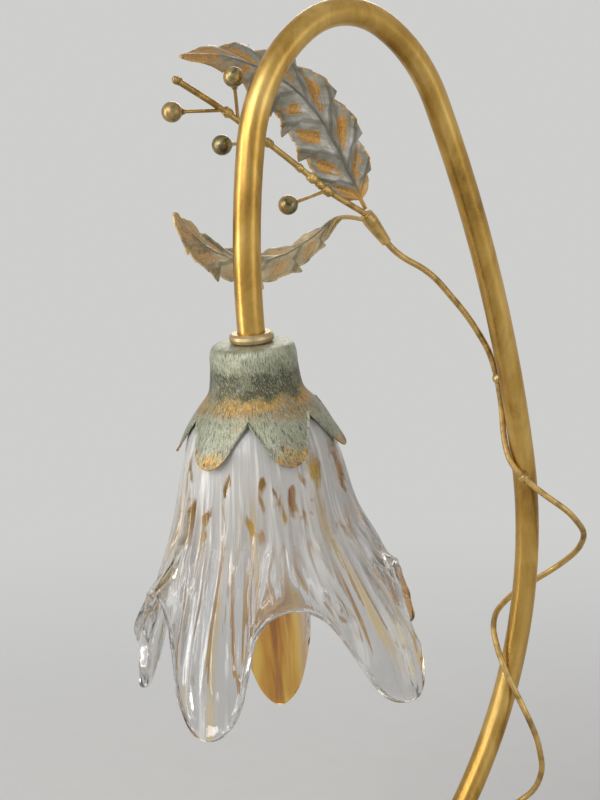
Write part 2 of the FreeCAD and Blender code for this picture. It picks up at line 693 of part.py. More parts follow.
def bulb_cap():
    """Screw cap: four rounded thread turns drawn as steps of the wall, open at the bottom."""
    outside, inside = [], []
    pitch = "(bulb_cap_length - 5) / 4"
    for turn_number in range(4):
        crest = BULB_TOP + " - 3.6 - " + pitch + " * %s" % (turn_number + 0.5)
        outside.append(("bulb_cap_radius - 0.5", crest + " + " + pitch + " * 0.5"))
        outside.append(("bulb_cap_radius", crest))
        inside.append(("bulb_cap_radius - 0.9", crest + " + " + pitch + " * 0.5"))
        inside.append(("bulb_cap_radius - 0.4", crest))
    corners = [("3.6", BULB_TOP + " - 2.4"), ("bulb_cap_radius - 0.9", BULB_TOP + " - 2.4"), *outside]
    corners += [("bulb_cap_radius - 0.5", CAP_FOOT), ("bulb_cap_radius - 0.9", CAP_FOOT), *reversed(inside)]
    corners += [("bulb_cap_radius - 1.3", BULB_TOP + " - 2.8"), ("3.6", BULB_TOP + " - 2.8")]
    turned("bulb_cap", corners, HEAD)


def bulb_envelope():
    """Opal ball on a short neck: a hollow blown shell, worked out from its radius and wall."""
    foot = size(CAP_FOOT) - size("seat_gap")
    radius, neck, wall = size("bulb_radius"), size("bulb_neck_radius"), size("bulb_wall")
    middle = foot - size("bulb_length") + radius
    bottom = middle - radius

    def half(ball, throat, end):
        """Outline from the bottom of the ball to the throat, with a tangent flank between."""
        flank = math.radians(48)
        rise = Vector(ball * math.cos(flank), 0, middle + ball * math.sin(flank))
        return [
            Part.Arc(Vector(0, 0, middle - ball), Vector(ball * 0.8, 0, middle - ball * 0.6), rise).toShape(),
            Part.makeLine(rise, Vector(throat, 0, foot - 6)),
            Part.makeLine(Vector(throat, 0, foot - 6), Vector(end, 0, foot)),
        ]

    rim = size("bulb_cap_radius - 0.5")
    outer = half(radius, neck, rim)
    inner = half(radius - wall, neck - wall, rim - wall)
    closing = [Part.makeLine(Vector(rim, 0, foot), Vector(rim - wall, 0, foot)),
               Part.makeLine(Vector(0, 0, bottom + wall), Vector(0, 0, bottom))]
    outline = Part.Wire(Part.__sortEdges__(outer + inner + closing))
    shaped("bulb_envelope", Part.Face(outline).revolve(Vector(), Vector(0, 0, 1), 360), HEAD)


turned("bulb_contact", [
    ("0", BULB_TOP),
    ("1.6", BULB_TOP),
    ("2.4", BULB_TOP + " - 0.8"),
    ("2.4", BULB_TOP + " - 1.4"),
    ("0", BULB_TOP + " - 1.4"),
], HEAD)
turned("bulb_insulator", [
    ("0", BULB_TOP + " - 1.4 - thread_gap"),
    ("2.6", BULB_TOP + " - 1.4 - thread_gap"),
    ("bulb_cap_radius - 1.4", BULB_TOP + " - 2.3"),
    ("3.5", BULB_TOP + " - 2.35"),
    ("3.5", BULB_TOP + " - 4"),
    ("0", BULB_TOP + " - 4"),
], HEAD)
bulb_cap()
bulb_envelope()
turned("bulb_core", [
    ("0", CAP_FOOT + " + 4"),
    ("bulb_cap_radius - 1.5", CAP_FOOT + " + 4"),
    ("bulb_cap_radius - 1.5", CAP_FOOT + " - 1"),
    ("3", CAP_FOOT + " - 4"),
    ("2.4", CAP_FOOT + " - bulb_length + bulb_radius"),
    ("0", CAP_FOOT + " - bulb_length + bulb_radius - 3"),
], HEAD)


# ---------------------------------------------------------------- blown and pressed skins
def ring_surface(rows):
    """Smooth face through rows of poles: open from row to row, closed round each row."""
    down, around = len(rows), len(rows[0])
    surface = Part.BSplineSurface()
    surface.buildFromPolesMultsKnots(rows, [4] + [1] * (down - 4) + [4], [1] * (around + 1),
                                     [float(i) for i in range(down - 2)],
                                     [float(i) for i in range(around + 1)], False, True, 3, 3)
    return surface


def end_curve(surface, last):
    low, high = surface.bounds()[:2]
    return surface.uIso(high if last else low).toShape()


def solid_of(faces):
    shell = Part.makeShell(faces)
    shell.sewShape()
    return Part.makeSolid(shell)


def inward(rows, i, j):
    """Unit normal of a net of poles that hangs down and turns anticlockwise, pointing inside."""
    down = rows[min(i + 1, len(rows) - 1)][j] - rows[max(i - 1, 0)][j]
    around = rows[i][(j + 1) % len(rows[i])] - rows[i][j - 1]
    return around.cross(down).normalize()


def offset_rows(rows, wall):
    """The net moved inside by a wall that may grow from row to row."""
    moved = []
    for i, row in enumerate(rows):
        moved.append([pole + inward(rows, i, j) * wall(i, j) for j, pole in enumerate(row)])
    return moved


def petal_shape(local, upright, narrow):
    """Side and length of a petal from its left notch (0) over its tip (0.5) to its right notch (1).

    The first number moves the line sideways: upright makes the flanks run straight down, and narrow
    draws them together. The second is 0 at the notches and 1 at the tip."""
    turn = 2 * math.pi * local
    return upright * math.sin(2 * turn) + narrow * math.sin(turn), (1 - math.cos(turn)) / 2


def calyx():
    """Pressed cup with a ring of sepals, each a rounded point that stands out over the glass."""
    wall, hole = size("calyx_wall"), size("rod_thread / 2 + seat_gap")
    shoulder, waist = size("calyx_shoulder"), size("calyx_waist")
    cup = size("calyx_cup_depth")
    stations = (
        # radius, depth below the top
        (hole, 0),
        (shoulder * 0.5, 0),
        (shoulder * 0.74, 0),
        (shoulder * 0.96, cup * 0.03),
        (shoulder + 0.6, cup * 0.2),
        (shoulder + 0.9, cup * 0.42),
        (waist, cup * 0.7),
        (waist + 1, cup * 0.88),
        (waist + 3.4, cup),
    )
    notch_radius, notch_depth = size("sepal_notch_radius"), size("sepal_notch_depth")
    tip_radius, tip_depth = size("sepal_tip_radius"), size("sepal_tip_depth")
    sepals, per_sepal, flare_rows = int(size("sepal_count")), 10, 4
    rows = [[polar(r, 360.0 * j / (sepals * per_sepal) + size("sepal_first_angle"), -h)
             for j in range(sepals * per_sepal)] for r, h in stations]
    last_radius, last_depth = stations[-1]
    for step in range(1, flare_rows + 1):
        part = step / flare_rows
        row = []
        for j in range(sepals * per_sepal):
            local = (j % per_sepal) / per_sepal
            sideways, _ = petal_shape((local + 0.5) % 1, 0.03, 0.0)
            length = 1 - (2 * min(local, 1 - local)) ** 1.8
            end_radius = notch_radius + (tip_radius - notch_radius) * length
            end_depth = notch_depth + (tip_depth - notch_depth) * length
            radius = last_radius + (end_radius - last_radius) * (1.45 * part - 0.45 * part ** 2)
            depth = last_depth + (end_depth - last_depth) * part
            angle = 360.0 / sepals * (j / per_sepal + sideways * smooth(part))
            row.append(polar(radius, angle + size("sepal_first_angle"), -depth))
        rows.append(row)
    outer = ring_surface(rows)
    inner = ring_surface(offset_rows(rows, lambda i, j: wall))
    faces = [outer.toShape(), inner.toShape()]
    for last in (False, True):
        faces.append(Part.makeRuledSurface(end_curve(outer, last), end_curve(inner, last)))
    shaped("calyx", solid_of(faces), HEAD)


def glass_shade():
    """Blown glass flower: a flat collar, a bell, and five petals drawn out to different lengths."""
    top, wall, tip_wall = size(GLASS_TOP), size("glass_wall"), size("glass_tip_wall")
    hole = size("holder_radius + running_gap")
    collar = size("glass_collar")
    shoulder, shoulder_depth = size("glass_shoulder"), size("glass_shoulder_depth")
    waist, waist_depth = size("glass_waist"), size("glass_waist_depth")
    skirt, skirt_depth = size("glass_skirt"), size("glass_skirt_depth")
    stations = (
        # radius, depth below the collar
        (hole, 0),
        ((hole + collar) / 2, 0),
        (collar, 0),
        (collar * 0.6 + shoulder * 0.4, shoulder_depth * 0.22),
        (shoulder, shoulder_depth),
        ((shoulder + waist) / 2 + 0.6, (shoulder_depth + waist_depth) / 2),
        (waist, waist_depth),
        (skirt, skirt_depth),
    )
    petals = [(size(name + "_petal_angle"), size(name + "_petal_depth"), size(name + "_petal_reach"))
              for name, *_ in PETALS]
    notch_radius, notch_depth = size("glass_notch_radius"), size("glass_notch_depth")
    per_petal, petal_rows, folds = 12, 5, 3
    fold_height = size("glass_fold")
    columns = []
    for number, (angle, depth, reach) in enumerate(petals):
        before = petals[number - 1][0] - (360 if number == 0 else 0)
        after = petals[(number + 1) % len(petals)][0] + (360 if number == len(petals) - 1 else 0)
        left, right = (before + angle) / 2, (angle + after) / 2
        for j in range(per_petal):
            local = j / per_petal
            sideways, length = petal_shape(local, 0.045, 0.012)
            half = angle - left if local < 0.5 else right - angle
            middle = angle + (local - 0.5) * 2 * half
            columns.append((middle, sideways * 2 * half, length, depth, reach, local))
    rows = [[polar(r, middle, top - h) for middle, *_ in columns] for r, h in stations]
    for step in range(1, petal_rows + 1):
        part = step / petal_rows
        row = []
        for middle, sideways, length, depth, reach, local in columns:
            end_radius = notch_radius + (reach - notch_radius) * length
            end_depth = notch_depth + (depth - notch_depth) * length
            radius = skirt + (end_radius - skirt) * (1.15 * part - 0.15 * part ** 2)
            height = top - skirt_depth - (end_depth - skirt_depth) * part
            angle = middle + sideways * smooth(part * 1.1)
            swell = math.sin(math.pi * min(part + 0.15, 1))
            fold = fold_height * math.cos(2 * math.pi * folds * local) * swell
            row.append(polar(radius + fold, angle, height))
        rows.append(row)
    body_rows = len(stations)

    def thickness(i, j):
        part = max(i - body_rows + 1, 0) / petal_rows
        return wall + (tip_wall - wall) * part * columns[j][2]

    inside = offset_rows(rows, thickness)
    lip = []
    for j in range(len(columns)):
        middle = (rows[-1][j] + inside[-1][j]) * 0.5
        along = (rows[-1][j] - rows[-2][j]).normalize()
        lip.append(middle + along * thickness(len(rows) - 1, j) * 0.45)
    wrapped = ring_surface(rows + [lip] + list(reversed(inside)))
    faces = [wrapped.toShape(), Part.makeRuledSurface(end_curve(wrapped, False), end_curve(wrapped, True))]
    shaped("glass_shade", solid_of(faces), HEAD)


calyx()
glass_shade()


# ---------------------------------------------------------------- sprig: wire, leaves and berries
sprig_foot = beside_stem(size("sprig_height"))
seat = size("tube_outer / 2 + wire_diameter / 2 + seat_gap * 0.5")


def from_foot(x, y, z):
    """Point counted from the middle of the stem where the branch is brazed on."""
    return sprig_foot + Vector(x, y, z)


# the bound end of the branch, where leaves and twig spring from
knot = from_foot(-90.3, 24, 93.8)
sheath_foot = from_foot(-76.4, 23, 78.4)
branch_way = (knot - sheath_foot).normalize()
branch_up = Vector(branch_way.z, 0, -branch_way.x).normalize()

# tendril round the stem: length along the stem, how far it stands off its seat, angle round it
TENDRIL = (
    (-1, 0, 106), (-22, 0, 108), (-40, 0.7, 128), (-54, 1.2, 172), (-66, 1.3, 232),
    (-75, 6.7, 268), (-86, 18.5, 289), (-102, 26, 315), (-115, 25, 336), (-126, 19.5, 357), (-136, 13.5, 25),
    (-146, 10.5, 64), (-156, 9.2, 100), (-165, 6.6, 134), (-179, 3.5, 176), (-195, 1.6, 236),
    (-209, 8, 285), (-222, 18, 307), (-237, 28, 323), (-249, 30.5, 333), (-261, 26, 345),
    (-273, 18, 8), (-284, 9.5, 44), (-294, 3, 92), (-306, 0.6, 138), (-322, 0.5, 165),
)


def tendril_points():
    points = [knot - branch_way * size("sheath_cap + seat_gap")]
    points.append(sheath_foot - branch_way * size("branch_straight"))
    points += [from_foot(-46.5, 19, 60.2), from_foot(-20, 13.8, 32.2), from_foot(-7, 10.4, 12.5)]
    for along, stand_off, angle in TENDRIL:
        points.append(beside_stem(size("sprig_height") + along, seat + stand_off, angle))
    return points


wire_edges = rounded(tendril_points(), "tendril")
shaped("tendril", round_bar(wire_edges, size("wire_diameter")))


def upright_on(point, direction):
    return Placement(point, Rotation(Vector(0, 0, 1), direction))


SHEATH_LENGTH = (knot - sheath_foot).Length
turned("leaf_sheath", [
    ("wire_diameter / 2 + seat_gap", "0"),
    ("wire_diameter / 2 + 1", "0"),
    ("sheath_radius * 0.82", "%.2f" % (SHEATH_LENGTH * 0.35)),
    ("sheath_radius", "%.2f" % (SHEATH_LENGTH * 0.8)),
    ("sheath_radius - 0.4", "%.2f" % SHEATH_LENGTH),
    ("0", "%.2f" % SHEATH_LENGTH),
    ("0", "%.2f - sheath_cap" % SHEATH_LENGTH),
    ("wire_diameter / 2 + seat_gap", "%.2f - sheath_cap" % SHEATH_LENGTH),
], upright_on(sheath_foot, branch_way))


def clearing(middle, way, radius):
    """Straight cutter along a bar, as long as a bead needs, wider than the bar by the seat gap."""
    reach = size("wire_diameter * 3")
    return Part.makeCylinder(radius + size("seat_gap"), 2 * reach, middle - way * reach, way)


def braze_beads():
    """Two drops of braze that hold the wire to the stem, hollowed where each bar runs through."""
    path = Part.Wire(wire_edges).discretize(Distance=2.0)
    beads = []
    for along, angle in ((-64, 222), (-4, 106)):
        place = size("sprig_height") + along
        centre = beside_stem(place, size("tube_outer / 2 + wire_diameter * 0.35"), angle)
        stem_way = (beside_stem(place + 1) - beside_stem(place - 1)).normalize()
        nearest = min(range(1, len(path) - 1), key=lambda i: path[i].distanceToPoint(centre))
        wire_way = (path[nearest + 1] - path[nearest - 1]).normalize()
        bead = Part.makeSphere(size("wire_diameter * 0.95"), centre)
        bead = bead.cut(clearing(beside_stem(place), stem_way, size("tube_outer / 2")))
        bead = bead.cut(clearing(path[nearest], wire_way, size("wire_diameter / 2")))
        beads.append(max(bead.Solids, key=lambda solid: solid.Volume))
    shaped("braze_beads", Part.makeCompound(beads))


def across(direction, lean):
    """Sideways direction of a leaf that grows along a direction and leans back from the viewer."""
    facing = Vector(-0.6, -0.77, 0.2)
    side = direction.cross(facing).normalize()
    return Rotation(direction, lean).multVec(side)


def even_knots(count):
    """Multiplicities and knots of a clamped cubic with this many poles."""
    return [4] + [1] * (count - 4) + [4], [float(i) for i in range(count - 2)]


def sheet_surface(rows):
    """Smooth face over a net of poles, open on all four sides."""
    down_mults, down_knots = even_knots(len(rows))
    across_mults, across_knots = even_knots(len(rows[0]))
    surface = Part.BSplineSurface()
    surface.buildFromPolesMultsKnots(rows, down_mults, across_mults, down_knots, across_knots,
                                     False, False, 3, 3)
    return surface


def borders(surface):
    """The four edges of an open surface."""
    u_low, u_high, v_low, v_high = surface.bounds()
    curves = [surface.uIso(u_low), surface.uIso(u_high), surface.vIso(v_low), surface.vIso(v_high)]
    return [curve.toShape() for curve in curves]


def leaf(label, spine, width, lean, curl, teeth):
    """Embossed leaf: a thin sheet folded along its midrib, with wavy lobes, tapering to a stalk.

    The spine runs from the stalk to the tip. The blade is turned about it by lean, and more
    towards the tip by curl."""
    thick = size("leaf_thickness")
    line = Part.BSplineCurve()
    line.interpolate(spine)
    first, last = line.FirstParameter, line.LastParameter
    stations, top_rows, under_rows = 20, [], []
    for i in range(stations):
        t = i / (stations - 1)
        u = first + (last - first) * t
        centre = line.value(u)
        way = Vector(*line.tangent(u)[0])
        side = across(way, lean + curl * t)
        up = way.cross(side).normalize()
        blade = math.sin(math.pi * min(max((t - 0.1) / 0.9, 0), 1) ** 0.8) ** 0.75
        wave = 1 + 0.16 * math.cos(2 * math.pi * teeth * t)
        half = max(1.1, width / 2 * blade * wave)
        upper, under = [], []
        for spot in (-1, -0.62, 0, 0.62, 1):
            valley = half * abs(spot) * (0.16 + 0.05 * math.sin(2 * math.pi * teeth * t))
            skin = thick / 2 * (1 - 0.4 * abs(spot))
            middle = centre + side * (half * spot) + up * valley
            upper.append(middle + up * skin)
            under.append(middle - up * skin)
        top_rows.append(upper)
        under_rows.append(under)
    top, bottom = sheet_surface(top_rows), sheet_surface(under_rows)
    faces = [top.toShape(), bottom.toShape()]
    for one, other in zip(borders(top), borders(bottom)):
        faces.append(Part.makeRuledSurface(one, other))
    shaped(label, solid_of(faces))


def sprig_point(x, y, z):
    """Point counted from the knot, so that leaves and twig follow the branch."""
    return knot + Vector(x, y, z)


def at_knot(half_width, degrees, offset):
    """Root of a piece that leaves the end of the sheath at an angle to it, clear by the seat gap."""
    lift = size(half_width) * math.sin(math.radians(degrees)) + size("seat_gap")
    return knot + branch_way * lift + branch_up * offset


def twig_points():
    root = at_knot("twig_diameter / 2", 20, 0)
    return [root, sprig_point(-25.3, 1.5, 13.2), sprig_point(-44.9, 2.6, 26.9), sprig_point(-64.7, 3.2, 39.8),
            sprig_point(-93.5, 3.0, 57.0), sprig_point(-121.1, 3.0, 71.0)]


def berries():
    """Four round berries on wire stalks that spring from the twig."""
    twig = shaped("berry_twig", round_bar(rounded(twig_points(), "berry twig"), size("twig_diameter")))
    spots = (
        # root on the twig, berry
        (Vector(-92.5, 3, 56.2), Vector(-121.7, 6, 55.4)),
        (Vector(-83.5, 3, 51.0), Vector(-94.5, -8.5, 72.4)),
        (Vector(-66.5, 3.2, 40.6), Vector(-97.3, -2, 39.1)),
        (Vector(-26.5, 1.6, 14.0), Vector(-57.0, -4, 7.8)),
    )
    radius = size("berry_radius")
    stalks, balls = [], []
    for root, berry in spots:
        way = berry - root
        reach = way.Length
        way.normalize()
        stalk = Part.makeCylinder(size("stalk_diameter / 2"), reach, knot + root, way)
        collar = Part.makeCone(size("stalk_diameter"), size("stalk_diameter * 0.7"), 1.6,
                               knot + berry - way * (radius + 0.4), way * -1)
        ball = Part.makeSphere(radius, knot + berry)
        hollow = Part.makeSphere(radius + size("thread_gap"), knot + berry)
        whole = stalk.fuse(collar).cut([twig.Shape, hollow])
        stalks.append(max(whole.Solids, key=lambda solid: solid.Volume))
        balls.append(ball)
    shaped("berry_stalks", Part.makeCompound(stalks))
    shaped("berries", Part.makeCompound(balls))


braze_beads()
berries()
upper_spine = [
    at_knot("leaf_thickness", 20, 3.1), sprig_point(-4.8, 2.0, 12.0), sprig_point(-12.4, 4.2, 27.2),
    sprig_point(-25.6, 6.0, 48.5), sprig_point(-43.6, 8.5, 66.6), sprig_point(-67.1, 9.5, 77.4),
    sprig_point(-92.5, 6.5, 82.6), sprig_point(-118.8, 2.0, 82.0),
]
lower_spine = [
    at_knot("leaf_thickness * 1.5", 60, -3.2), sprig_point(-14.7, 5.4, -1.5), sprig_point(-30.5, 7.0, -11.3),
    sprig_point(-49.4, 8.0, -20.0), sprig_point(-71.8, 9.0, -22.9), sprig_point(-94.1, 9.0, -16.4),
    sprig_point(-109.0, 8.0, -6.8), sprig_point(-121.6, 6.0, 5.4),
]
leaf("upper_leaf", upper_spine, size("upper_leaf_width"), lean=8, curl=34, teeth=7)
leaf("lower_leaf", lower_spine, size("lower_leaf_width"), lean=40, curl=20, teeth=6)

# ---------------------------------------------------------------- check and write
doc.recompute()
for thing in doc.Objects:
    if "Invalid" in thing.State or "Error" in thing.State:
        raise RuntimeError("%s failed: %s" % (thing.Label, thing.State))
for node in nodes:
    if node.Shape.isNull() or not node.Shape.isValid():
        raise RuntimeError(node.Label + " is not a valid solid")
for node in nodes:
    node.Shape.exportStep("parts/%s.step" % node.Label)
print("%d pieces written" % len(nodes))
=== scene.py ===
# %% [markdown]
# # A lamp with a blown glass flower
# A bent brass tube rises from a weighted base and holds a glass flower, mouth down, under a metal
# calyx. A wire tendril winds round the tube and carries two leaves and a twig with berries. The
# metal parts come as a fixed frame, so this lesson gives them finishes and models only what needs
# more shape: the calyx, the glass, the two leaves and the small knots on the twig.
# %% Load the fixed frame
import json
import math

import bpy
from mathutils import Matrix, Vector


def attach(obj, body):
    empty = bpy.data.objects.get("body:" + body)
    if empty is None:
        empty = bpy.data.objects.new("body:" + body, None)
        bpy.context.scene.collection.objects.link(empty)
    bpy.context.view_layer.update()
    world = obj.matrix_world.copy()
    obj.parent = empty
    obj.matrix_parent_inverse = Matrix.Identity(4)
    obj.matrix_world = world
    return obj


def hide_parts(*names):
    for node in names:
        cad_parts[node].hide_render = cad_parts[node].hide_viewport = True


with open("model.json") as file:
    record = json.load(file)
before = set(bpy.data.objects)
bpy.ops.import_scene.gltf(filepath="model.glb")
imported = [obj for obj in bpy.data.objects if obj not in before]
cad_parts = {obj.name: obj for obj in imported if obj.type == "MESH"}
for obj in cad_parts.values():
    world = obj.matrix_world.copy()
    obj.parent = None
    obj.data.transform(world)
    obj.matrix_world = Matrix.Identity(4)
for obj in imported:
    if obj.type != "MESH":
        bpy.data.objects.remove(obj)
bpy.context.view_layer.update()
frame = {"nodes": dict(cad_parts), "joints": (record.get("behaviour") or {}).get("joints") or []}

nodes = frame["nodes"]

# %% [markdown]
# ## Camera, floor and light
# A small lamp is photographed from a little above, with a long lens. The floor is a pale disc that
# fades into the same pale world, so no horizon cuts the picture. A large soft lamp and a tall strip
# on the left, a weak fill on the right and a lamp behind give the metal its bands.
# %% Camera
scene = bpy.context.scene
scene.view_settings.view_transform = "Standard"
PITCH = math.radians(11)
HEADING = Vector((0.617, 0.787, 0))
CAMERA_PLACE, LENS = (-0.55424, -0.6024, 0.53086), 67.5
look = HEADING.normalized() * math.cos(PITCH) - Vector((0, 0, math.sin(PITCH)))
camera = bpy.data.objects.new("Camera", bpy.data.cameras.new("Camera"))
scene.collection.objects.link(camera)
camera.data.sensor_fit = "VERTICAL"
camera.data.sensor_height = 36
camera.data.lens = LENS
camera.location = CAMERA_PLACE
camera.rotation_euler = look.to_track_quat("-Z", "Y").to_euler()
scene.camera = camera
print("camera looks along", [round(value, 3) for value in look])

# %% A helper for building finishes node by node
BACKDROP = (0.62, 0.62, 0.61)


def srgb(code):
    """Linear colour of a hexadecimal code."""
    parts = [int(code[i:i + 2], 16) / 255 for i in (0, 2, 4)]
    return tuple(p / 12.92 if p <= 0.04045 else ((p + 0.055) / 1.055) ** 2.4 for p in parts)


class Finish:
    """A material made of nodes that read the piece's own Object coordinates."""

    def __init__(self, name):
        self.material = bpy.data.materials.new(name)
        self.material.use_nodes = True
        self.tree = self.material.node_tree
        self.shader = self.tree.nodes["Principled BSDF"]
        self.here = self.tree.nodes.new("ShaderNodeTexCoord").outputs["Object"]

    def feed(self, socket, value):
        if isinstance(value, bpy.types.NodeSocket):
            self.tree.links.new(value, socket)
        elif socket.type == "RGBA":
            socket.default_value = (*value, 1)
        else:
            socket.default_value = value

    def place(self, source, scale=(1, 1, 1), location=(0, 0, 0), rotation=(0, 0, 0), kind="POINT"):
        node = self.tree.nodes.new("ShaderNodeMapping")
        node.vector_type = kind
        self.feed(node.inputs["Vector"], source)
        self.feed(node.inputs["Scale"], scale)
        self.feed(node.inputs["Location"], location)
        self.feed(node.inputs["Rotation"], rotation)
        return node.outputs[0]

    def grain(self, source, scale, detail=3.0, rough=0.5, warp=0.0):
        node = self.tree.nodes.new("ShaderNodeTexNoise")
        for name, value in (("Vector", source), ("Scale", scale), ("Detail", detail), ("Roughness", rough),
                            ("Distortion", warp)):
            self.feed(node.inputs[name], value)
        return node.outputs["Fac"]

    def calc(self, work, *values):
        node = self.tree.nodes.new("ShaderNodeMath")
        node.operation = work
        for socket, value in zip(node.inputs, values):
            self.feed(socket, value)
        return node.outputs[0]

    def times(self, first, second):
        return self.calc("MULTIPLY", first, second)

    def plus(self, first, second):
        return self.calc("ADD", first, second)

    def part(self, source):
        """The three numbers of a vector, one socket each."""
        node = self.tree.nodes.new("ShaderNodeSeparateXYZ")
        self.feed(node.inputs[0], source)
        return node.outputs

    def join(self, x, y, z):
        node = self.tree.nodes.new("ShaderNodeCombineXYZ")
        for socket, value in zip(node.inputs, (x, y, z)):
            self.feed(socket, value)
        return node.outputs[0]

    def spread(self, value, low, high, to_low=0.0, to_high=1.0):
        node = self.tree.nodes.new("ShaderNodeMapRange")
        node.interpolation_type = "SMOOTHSTEP"
        for socket, number in zip(node.inputs, (value, low, high, to_low, to_high)):
            self.feed(socket, number)
        return node.outputs[0]

    def mix(self, share, first, second):
        node = self.tree.nodes.new("ShaderNodeMix")
        node.data_type = "RGBA"
        self.feed(node.inputs[0], share)
        self.feed(node.inputs[6], first)
        self.feed(node.inputs[7], second)
        return node.outputs[2]

    def ramp(self, value, *stops):
        node = self.tree.nodes.new("ShaderNodeValToRGB")
        marks = node.color_ramp.elements
        while len(marks) < len(stops):
            marks.new(0.5)
        for mark, (position, colour) in zip(marks, stops):
            mark.position = position
            mark.color = (*colour, 1)
        self.feed(node.inputs[0], value)
        return node.outputs[0]

    def bump(self, height, depth):
        node = self.tree.nodes.new("ShaderNodeBump")
        self.feed(node.inputs["Height"], height)
        node.inputs["Distance"].default_value = depth
        self.feed(self.shader.inputs["Normal"], node.outputs[0])

    def shine(self, colour, rough, **plain):
        """Colour and roughness, then plain numbers for other sockets of the shader."""
        self.feed(self.shader.inputs["Base Color"], colour)
        self.feed(self.shader.inputs["Roughness"], rough)
        for name, value in plain.items():
            self.shader.inputs[name.replace("_", " ")].default_value = value
        return self.material


def dress(piece, material):
    piece.data.materials.clear()
    piece.data.materials.append(material)


print("backdrop colour", BACKDROP)

# %% The floor and its fade into the world
FLOOR_RADIUS, FADE_START, FADE_END = 3.2, 0.25, 1.1
bpy.ops.object.select_all(action="DESELECT")
bpy.ops.mesh.primitive_circle_add(vertices=96, radius=FLOOR_RADIUS, fill_type="NGON", location=(0, 0, 0))
floor = bpy.context.object
floor.name = "floor"
pale = Finish("pale_floor")
across = pale.part(pale.here)
distance = pale.calc("SQRT", pale.plus(pale.times(across[0], across[0]),
                                       pale.times(across[1], across[1])))
pale.shine(pale.mix(pale.grain(pale.here, 40), srgb("d2d1ce"), srgb("d7d6d3")), 0.75)
glow = pale.tree.nodes.new("ShaderNodeEmission")
pale.feed(glow.inputs["Color"], BACKDROP)
ray = pale.tree.nodes.new("ShaderNodeLightPath").outputs
seen = pale.calc("MAXIMUM", ray["Is Camera Ray"],
                 pale.calc("MAXIMUM", ray["Is Glossy Ray"], ray["Is Transmission Ray"]))
fade = pale.tree.nodes.new("ShaderNodeMixShader")
pale.feed(fade.inputs[0], pale.times(seen, pale.spread(distance, FADE_START, FADE_END)))
pale.feed(fade.inputs[1], pale.shader.outputs[0])
pale.feed(fade.inputs[2], glow.outputs[0])
pale.feed(pale.tree.nodes["Material Output"].inputs["Surface"], fade.outputs[0])
dress(floor, pale.material)
print("floor radius", FLOOR_RADIUS, "m")

# %% World and lamps
world = bpy.data.worlds.new("studio")
scene.world = world
world.use_nodes = True
tree = world.node_tree
backing = tree.nodes["Background"]
backing.inputs["Color"].default_value = (0.80, 0.80, 0.81, 1)
backing.inputs["Strength"].default_value = 0.5
shown = tree.nodes.new("ShaderNodeBackground")
shown.inputs["Color"].default_value = (*BACKDROP, 1)
path = tree.nodes.new("ShaderNodeLightPath").outputs
both = tree.nodes.new("ShaderNodeMath")
both.operation = "MAXIMUM"
tree.links.new(path["Is Glossy Ray"], both.inputs[0])
tree.links.new(path["Is Transmission Ray"], both.inputs[1])
either = tree.nodes.new("ShaderNodeMath")
either.operation = "MAXIMUM"
tree.links.new(path["Is Camera Ray"], either.inputs[0])
tree.links.new(both.outputs[0], either.inputs[1])
pick = tree.nodes.new("ShaderNodeMixShader")
tree.links.new(either.outputs[0], pick.inputs[0])
tree.links.new(backing.outputs[0], pick.inputs[1])
tree.links.new(shown.outputs[0], pick.inputs[2])
tree.links.new(pick.outputs[0], tree.nodes["World Output"].inputs["Surface"])

LAMPS = (
    # name, place, width, height, power in watts
    ("key", (-1.25, -0.25, 1.05), 0.8, 0.8, 9.0),
    ("strip", (-0.95, 0.35, 0.45), 0.16, 0.9, 3.6),
    ("fill", (0.25, -1.35, 0.6), 0.7, 0.7, 2.2),
    ("back", (0.75, 0.95, 0.95), 0.6, 0.6, 3.5),
)
LAMPS_AIM = Vector((-0.05, 0, 0.36))
for name, spot, width, height, power in LAMPS:
    data = bpy.data.lights.new(name, "AREA")
    data.shape = "RECTANGLE"
    data.size, data.size_y, data.energy = width, height, power
    lamp = bpy.data.objects.new(name, data)
    lamp.location = spot
    lamp.rotation_euler = (LAMPS_AIM - Vector(spot)).to_track_quat("-Z", "Y").to_euler()
    scene.collection.objects.link(lamp)
print(len(LAMPS), "soft lamps")

# %% [markdown]
# ## The head's own axes
# The calyx and the glass hang along the tilted end of the tube. Their patterns follow that axis, so
# a Mapping node turns the Object coordinates upright under the top of the calyx.
# %% Axes of the head
HEAD_TOP = Vector((-0.11263478, 0, 0.41551570))
draw = next(joint for joint in frame["joints"] if joint["name"] == "bulb_draw")
tilt = math.atan2(draw["axis"][0], -draw["axis"][2])
HEAD = Matrix.Translation(HEAD_TOP) @ Matrix.Rotation(-tilt, 4, "Y")
print("the head leans", round(math.degrees(tilt), 2), "degrees")


def under_head(finish):
    """Object coordinates counted from the top of the calyx, along the head's axis."""
    return finish.place(finish.here, location=HEAD_TOP, rotation=(0, -tilt, 0), kind="TEXTURE")


